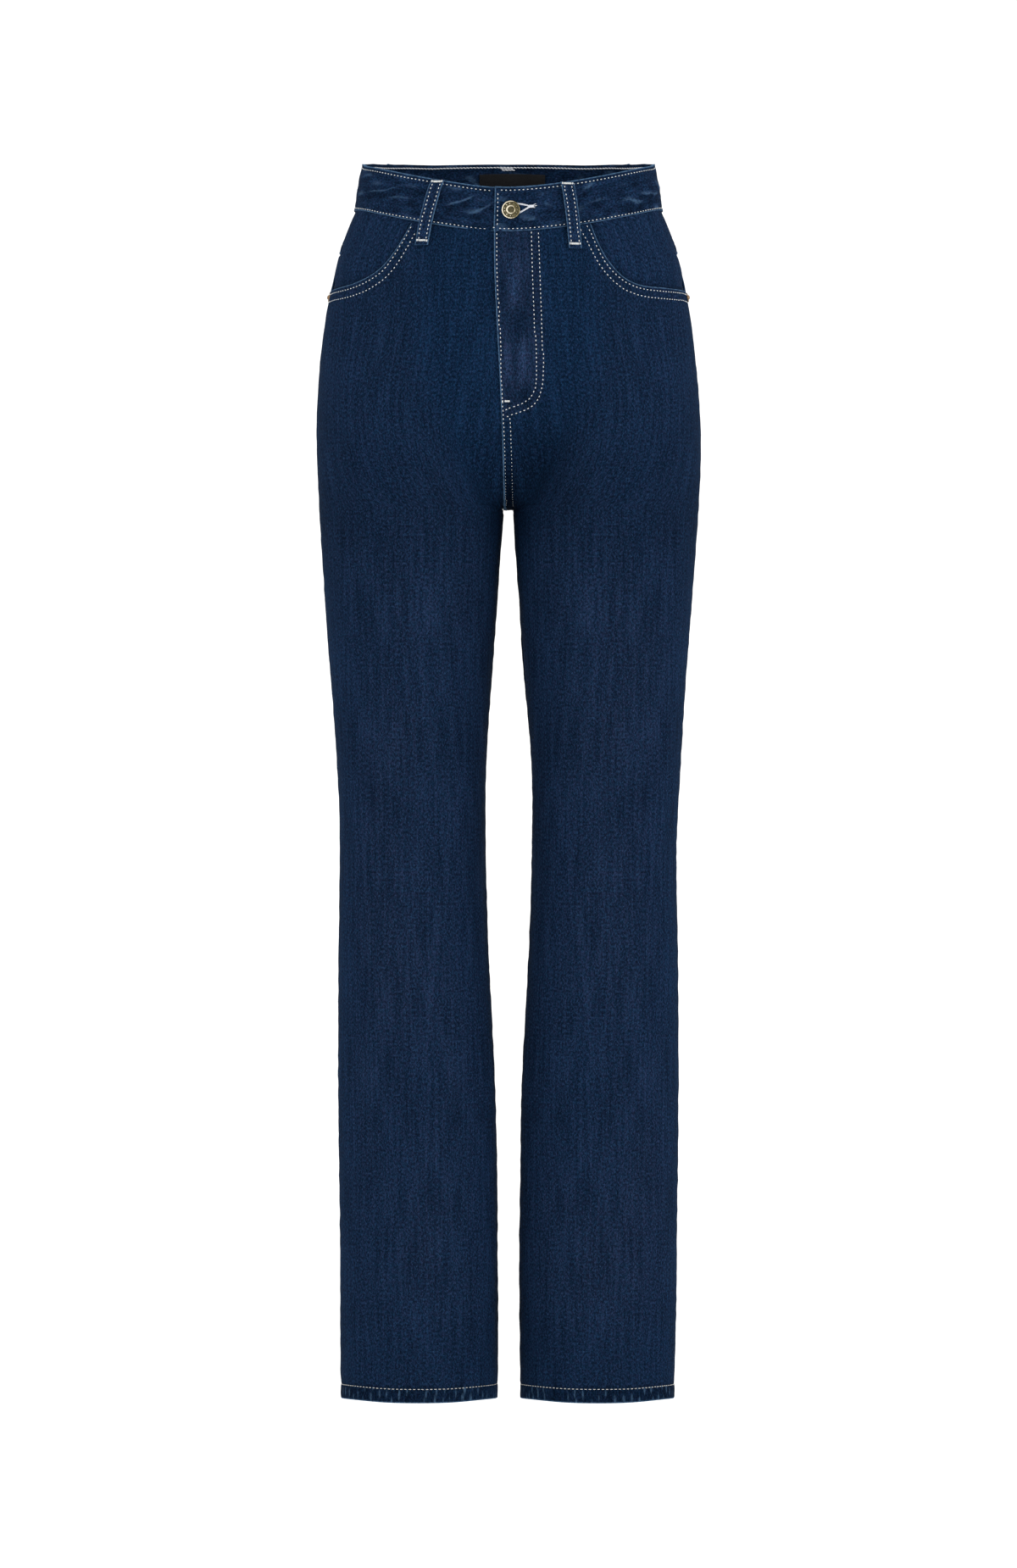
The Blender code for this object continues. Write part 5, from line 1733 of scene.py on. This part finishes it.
def label_finish(name, colour):
    """Plain black woven tape with a fine rib, its turned edge lightened by a painted sheen."""
    finish = Finish(name, 0.6, specular=0.12)
    grain = finish.cloth_map()
    rib = finish.ribs(grain, 520.0, 0.6, "Y")
    yarn = finish.yarns(grain, 2400.0, 700.0, roughness=0.5)
    base = finish.blend(finish.span(yarn, 0.3, 0.7), shaded(colour), shaded(colour, 2.4))
    # Painted sheen: lighter along the turned edge.
    edge = finish.span(finish.value("edge"), 1.6, 0.3, 0.0, 0.5)
    finish.colour(finish.blend(edge, base, shaded(colour, 3.0)))
    finish.height(finish.maths("ADD", rib, yarn), 0.4, 0.00015)
    return finish.material


def floor_finish(colour):
    """Plain matt studio paper with a barely visible tooth."""
    finish = Finish("studio_paper", 0.9, specular=0.05)
    tooth = finish.noise(finish.places(), 60.0, 3.0)
    finish.colour(finish.blend(tooth, shaded(colour, 0.995), shaded(colour)))
    return finish.material


# ----- what a user would change -----
def colour_property(name, description, default):
    return bpy.props.FloatVectorProperty(name=name, description=description, subtype="COLOR",
                                         size=3, min=0.0, max=1.0, default=default)


def share_property(name, description, default):
    return bpy.props.FloatProperty(name=name, description=description, subtype="FACTOR",
                                   min=0.0, max=1.0, default=default)


class JEANS_PG_denim(bpy.types.PropertyGroup):
    """The denim's colours and its weave"""
    warp: colour_property("Warp", "Indigo of the yarn that shows on the outside",
                          (0.0042, 0.0122, 0.0335))
    weft: colour_property("Weft", "Pale yarn that shows between the indigo ones",
                          (0.060, 0.090, 0.150))
    faded: colour_property("Faded", "Colour of the washed middle of each leg",
                           (0.0112, 0.0150, 0.0345))
    worn: colour_property("Worn folds", "Light blue of folded edges and ridges",
                          (0.075, 0.150, 0.255))
    reverse: colour_property("Reverse", "Colour of the cloth's inner side",
                             (0.150, 0.190, 0.250))
    speckle: share_property("Speckle", "How strongly the pale weft shows", 0.30)
    fading: share_property("Fading", "How strongly the legs are washed out", 0.72)
    edge_wear: share_property("Edge wear", "How light the folded edges are", 0.75)
    gloss: share_property("Gloss", "Specular level of the cloth", 0.012)
    twill_pitch: bpy.props.FloatProperty(
        name="Twill pitch", description="Distance from one twill line to the next",
        default=0.00105, min=0.0003, max=0.003, precision=5, unit="LENGTH")


class JEANS_PG_trims(bpy.types.PropertyGroup):
    """The colours of thread, metal and label"""
    topstitch: colour_property("Topstitching", "Cream thread on the outside",
                               (0.66, 0.67, 0.65))
    hem: colour_property("Hem thread", "Beige thread round the hems", (0.60, 0.585, 0.54))
    white: colour_property("White thread", "Thread inside the waistband and at the buttonhole",
                           (0.66, 0.67, 0.70))
    button: colour_property("Button", "Pale gold of the button", (0.92, 0.84, 0.66))
    # Also the colour of the painted shade on the button's darker side.
    button_tarnish_and_shade: colour_property("Button tarnish", "Darker patches on the button",
                                    (0.15, 0.125, 0.06))
    button_recess: colour_property("Button recess", "Dark ground of the button's ring and middle",
                                   (0.045, 0.042, 0.028))
    rivet: colour_property("Rivets", "Copper of the pocket rivets", (0.25, 0.165, 0.09))
    rivet_tarnish: colour_property("Rivet tarnish", "Darker patches on the rivets",
                                   (0.12, 0.07, 0.045))
    label: colour_property("Label", "Black of the label", (0.0022, 0.0022, 0.0026))


class JEANS_PG_stage(bpy.types.PropertyGroup):
    """The floor, the light and the camera"""
    paper: colour_property("Paper", "Colour of the floor and backdrop", (0.93, 0.93, 0.93))
    sky: bpy.props.FloatProperty(name="Room light", description="Strength of the even light",
                                 default=1.35, min=0.0, max=5.0)
    key: bpy.props.FloatProperty(name="Key light", description="Power of each large front light",
                                 default=55.0, min=0.0, max=2000.0, unit="POWER")
    floor_below: bpy.props.FloatProperty(
        name="Floor below hem", description="How far the floor lies under the hems",
        default=0.16, min=0.0, max=2.0, unit="LENGTH")
    distance: bpy.props.FloatProperty(
        name="Camera distance", description="From the lens to the middle of the garment",
        default=6.0, min=1.0, max=20.0, unit="LENGTH")
    eye_height: bpy.props.FloatProperty(
        name="Camera height", description="Height of the lens in the garment's frame",
        default=-0.541, min=-3.0, max=3.0, unit="LENGTH")
    lens: bpy.props.FloatProperty(name="Lens", description="Focal length in millimetres",
                                  default=151.63, min=10.0, max=400.0)


def finish_for(name, context):
    """The finish of that name, made on its first use."""
    found = bpy.data.materials.get(name)
    if found:
        return found
    denim, trims = context.scene.jeans_denim, context.scene.jeans_trims
    makers = {
        "indigo_denim": lambda: denim_finish(name, denim),
        "waistband_denim": lambda: denim_finish(name, denim, 0.93),
        "denim_reverse": lambda: reverse_finish(name, denim),
        "cream_thread": lambda: thread_finish(name, trims.topstitch),
        "beige_thread": lambda: thread_finish(name, trims.hem),
        "white_thread": lambda: thread_finish(name, trims.white),
        # The button's metal carries painted shade towards the wearer's left besides its tarnish.
        "aged_button_metal": lambda: metal_finish(name, trims.button, trims.button_tarnish_and_shade, 0.30,
                                                  2.0 * BUTTON_RADIUS * MM),
        "tarnished_button_recess": lambda: metal_finish(name, trims.button_recess,
                                                        trims.button_tarnish_and_shade, 0.5),
        "aged_rivet_copper": lambda: metal_finish(name, trims.rivet, trims.rivet_tarnish, 0.36),
        "black_woven_label": lambda: label_finish(name, trims.label),
    }
    return makers[name]()


def denim_and_reverse(context):
    return finish_for("indigo_denim", context), finish_for("denim_reverse", context)


# ----- one operator for each piece or group of like pieces -----
class JEANS_OT_fronts(bpy.types.Operator):
    """Cut and lay the two fronts, lapped at the fly"""
    bl_idname = "jeans.fronts"
    bl_label = "Fronts"

    def execute(self, context):
        for side, word in SIDES:
            make_front(side, word, denim_and_reverse(context))
        return {"FINISHED"}


class JEANS_OT_backs(bpy.types.Operator):
    """Cut and lay the two backs and their yokes"""
    bl_idname = "jeans.backs"
    bl_label = "Backs and Yokes"

    def execute(self, context):
        for side, word in SIDES:
            make_back(side, word, denim_and_reverse(context))
            make_yoke(side, word, denim_and_reverse(context))
        return {"FINISHED"}


class JEANS_OT_pockets(bpy.types.Operator):
    """Lay the facings behind the front pocket mouths and sew on the back pockets"""
    bl_idname = "jeans.pockets"
    bl_label = "Pockets"

    def execute(self, context):
        for side, word in SIDES:
            make_facing(side, word, denim_and_reverse(context))
            make_back_pocket(side, word, denim_and_reverse(context))
        return {"FINISHED"}


class JEANS_OT_waistband(bpy.types.Operator):
    """Fold the waistband round the waist"""
    bl_idname = "jeans.waistband"
    bl_label = "Waistband"

    def execute(self, context):
        denim = finish_for("waistband_denim", context)
        make_waistband((denim, denim))
        return {"FINISHED"}


class JEANS_OT_belt_loops(bpy.types.Operator):
    """Tack the five belt loops over the waistband"""
    bl_idname = "jeans.belt_loops"
    bl_label = "Belt Loops"

    def execute(self, context):
        denim = finish_for("waistband_denim", context)
        for loop in LOOPS:
            make_loop(loop, (denim, denim))
        return {"FINISHED"}


class JEANS_OT_label(bpy.types.Operator):
    """Sew the plain label inside the back of the waistband"""
    bl_idname = "jeans.label"
    bl_label = "Label"

    def execute(self, context):
        make_label(finish_for("black_woven_label", context))
        return {"FINISHED"}


class JEANS_OT_button(bpy.types.Operator):
    """Set the tack button in the waistband"""
    bl_idname = "jeans.button"
    bl_label = "Button"

    def execute(self, context):
        make_button(finish_for("aged_button_metal", context),
                    finish_for("tarnished_button_recess", context))
        return {"FINISHED"}


class JEANS_OT_rivets(bpy.types.Operator):
    """Set a rivet at each pocket mouth"""
    bl_idname = "jeans.rivets"
    bl_label = "Rivets"

    def execute(self, context):
        metal = finish_for("aged_rivet_copper", context)
        for side, word in SIDES:
            make_rivet(side, word, metal)
        return {"FINISHED"}


class JEANS_OT_topstitching(bpy.types.Operator):
    """Sew every visible row, bar tack and the buttonhole"""
    bl_idname = "jeans.topstitching"
    bl_label = "Topstitching"

    def execute(self, context):
        cream = finish_for("cream_thread", context)
        white = finish_for("white_thread", context)
        for sew in (sew_front, sew_waistband, sew_loops, sew_back):
            sew(cream)
        sew_hems(finish_for("beige_thread", context))
        for sew in (sew_band_inside, sew_buttonhole):
            sew(white)
        return {"FINISHED"}


def area_light(name, power, size, place, aim):
    lamp = bpy.data.lights.new(name, "AREA")
    lamp.energy = power
    lamp.shape = "RECTANGLE"
    lamp.size, lamp.size_y = size
    made = bpy.data.objects.new(name, lamp)
    bpy.context.collection.objects.link(made)
    made.location = place
    made.rotation_euler = (Vector(aim) - Vector(place)).to_track_quat("-Z", "Y").to_euler()


def backdrop_profile():
    """The paper from the side, as far back and up in metres: floor, round bend and wall."""
    front, back, top, radius, steps = -14.0, 15.0, 14.0, 3.0, 24
    bend = [math.pi / 2.0 * step / steps for step in range(steps + 1)]
    return ([(front, 0.0)]
            + [(back - radius + radius * math.sin(turn), radius - radius * math.cos(turn))
               for turn in bend] + [(back, top)])


class JEANS_OT_stage(bpy.types.Operator):
    """Lay the pale floor and backdrop, set the soft light and place the camera"""
    bl_idname = "jeans.stage"
    bl_label = "Stage"

    def execute(self, context):
        stage = context.scene.jeans_stage
        floor = HEM * MM - stage.floor_below
        bpy.ops.object.select_all(action="DESELECT")
        bpy.ops.mesh.primitive_plane_add(size=1.0)
        paper = context.object
        paper.name = paper.data.name = "studio_paper"
        paper.data.clear_geometry()
        half_width = 18.0
        points = [(x, y, floor + z) for y, z in backdrop_profile()
                  for x in (-half_width, half_width)]
        faces = [(i, i + 1, i + 3, i + 2) for i in range(0, len(points) - 2, 2)]
        paper.data.from_pydata(points, [], faces)
        bpy.ops.object.shade_smooth()
        wear_cloth(paper, floor_finish(stage.paper))

        world = bpy.data.worlds.new("studio")
        world.use_nodes = True
        sky = world.node_tree.nodes["Background"]
        sky.inputs["Color"].default_value = (1.0, 1.0, 1.0, 1.0)
        sky.inputs["Strength"].default_value = stage.sky
        context.scene.world = world
        middle = (0.0, 0.0, HEM * MM * 0.5)
        for name, share, place in (("key_left", 0.6, (-4.4, -3.2, 0.9)),
                                   ("key_right", 1.5, (4.2, -3.4, 0.7))):
            area_light(name, stage.key * share, (2.4, 3.2), place, middle)
        context.scene.view_settings.view_transform = "Standard"

        lens = bpy.data.cameras.new("camera")
        lens.sensor_width = 36.0
        lens.sensor_fit = "AUTO"
        lens.lens = stage.lens
        lens.clip_end = 60.0
        camera = bpy.data.objects.new("camera", lens)
        context.collection.objects.link(camera)
        camera.location = (0.0, -stage.distance, stage.eye_height)
        camera.rotation_euler = (math.pi / 2.0, 0.0, 0.0)
        context.scene.camera = camera
        return {"FINISHED"}


OPERATORS = (JEANS_OT_fronts, JEANS_OT_backs, JEANS_OT_pockets, JEANS_OT_waistband,
             JEANS_OT_belt_loops, JEANS_OT_label, JEANS_OT_button, JEANS_OT_rivets,
             JEANS_OT_topstitching, JEANS_OT_stage)


class JEANS_PT_sidebar(bpy.types.Panel):
    """Every step of making the jeans, in order"""
    bl_idname = "JEANS_PT_sidebar"
    bl_label = "Bootcut Jeans"
    bl_space_type = "VIEW_3D"
    bl_region_type = "UI"
    bl_category = "Jeans"

    def draw(self, context):
        layout = self.layout
        for operator in OPERATORS:
            layout.operator(operator.bl_idname)
        for name in GROUPS:
            group = getattr(context.scene, name)
            box = layout.box()
            for key in group.bl_rna.properties.keys():
                if key not in ("rna_type", "name"):
                    box.prop(group, key)


GROUPS = {"jeans_denim": JEANS_PG_denim, "jeans_trims": JEANS_PG_trims,
          "jeans_stage": JEANS_PG_stage}
CLASSES = tuple(GROUPS.values()) + OPERATORS + (JEANS_PT_sidebar,)


def register():
    for made in CLASSES:
        bpy.utils.register_class(made)
    for name, group in GROUPS.items():
        setattr(bpy.types.Scene, name, bpy.props.PointerProperty(type=group))


def unregister():
    for name in GROUPS:
        delattr(bpy.types.Scene, name)
    for made in reversed(CLASSES):
        bpy.utils.unregister_class(made)


def main():
    register()
    for operator in OPERATORS:
        group, name = operator.bl_idname.split(".")
        getattr(getattr(bpy.ops, group), name)()


if __name__ == "__main__":
    main()
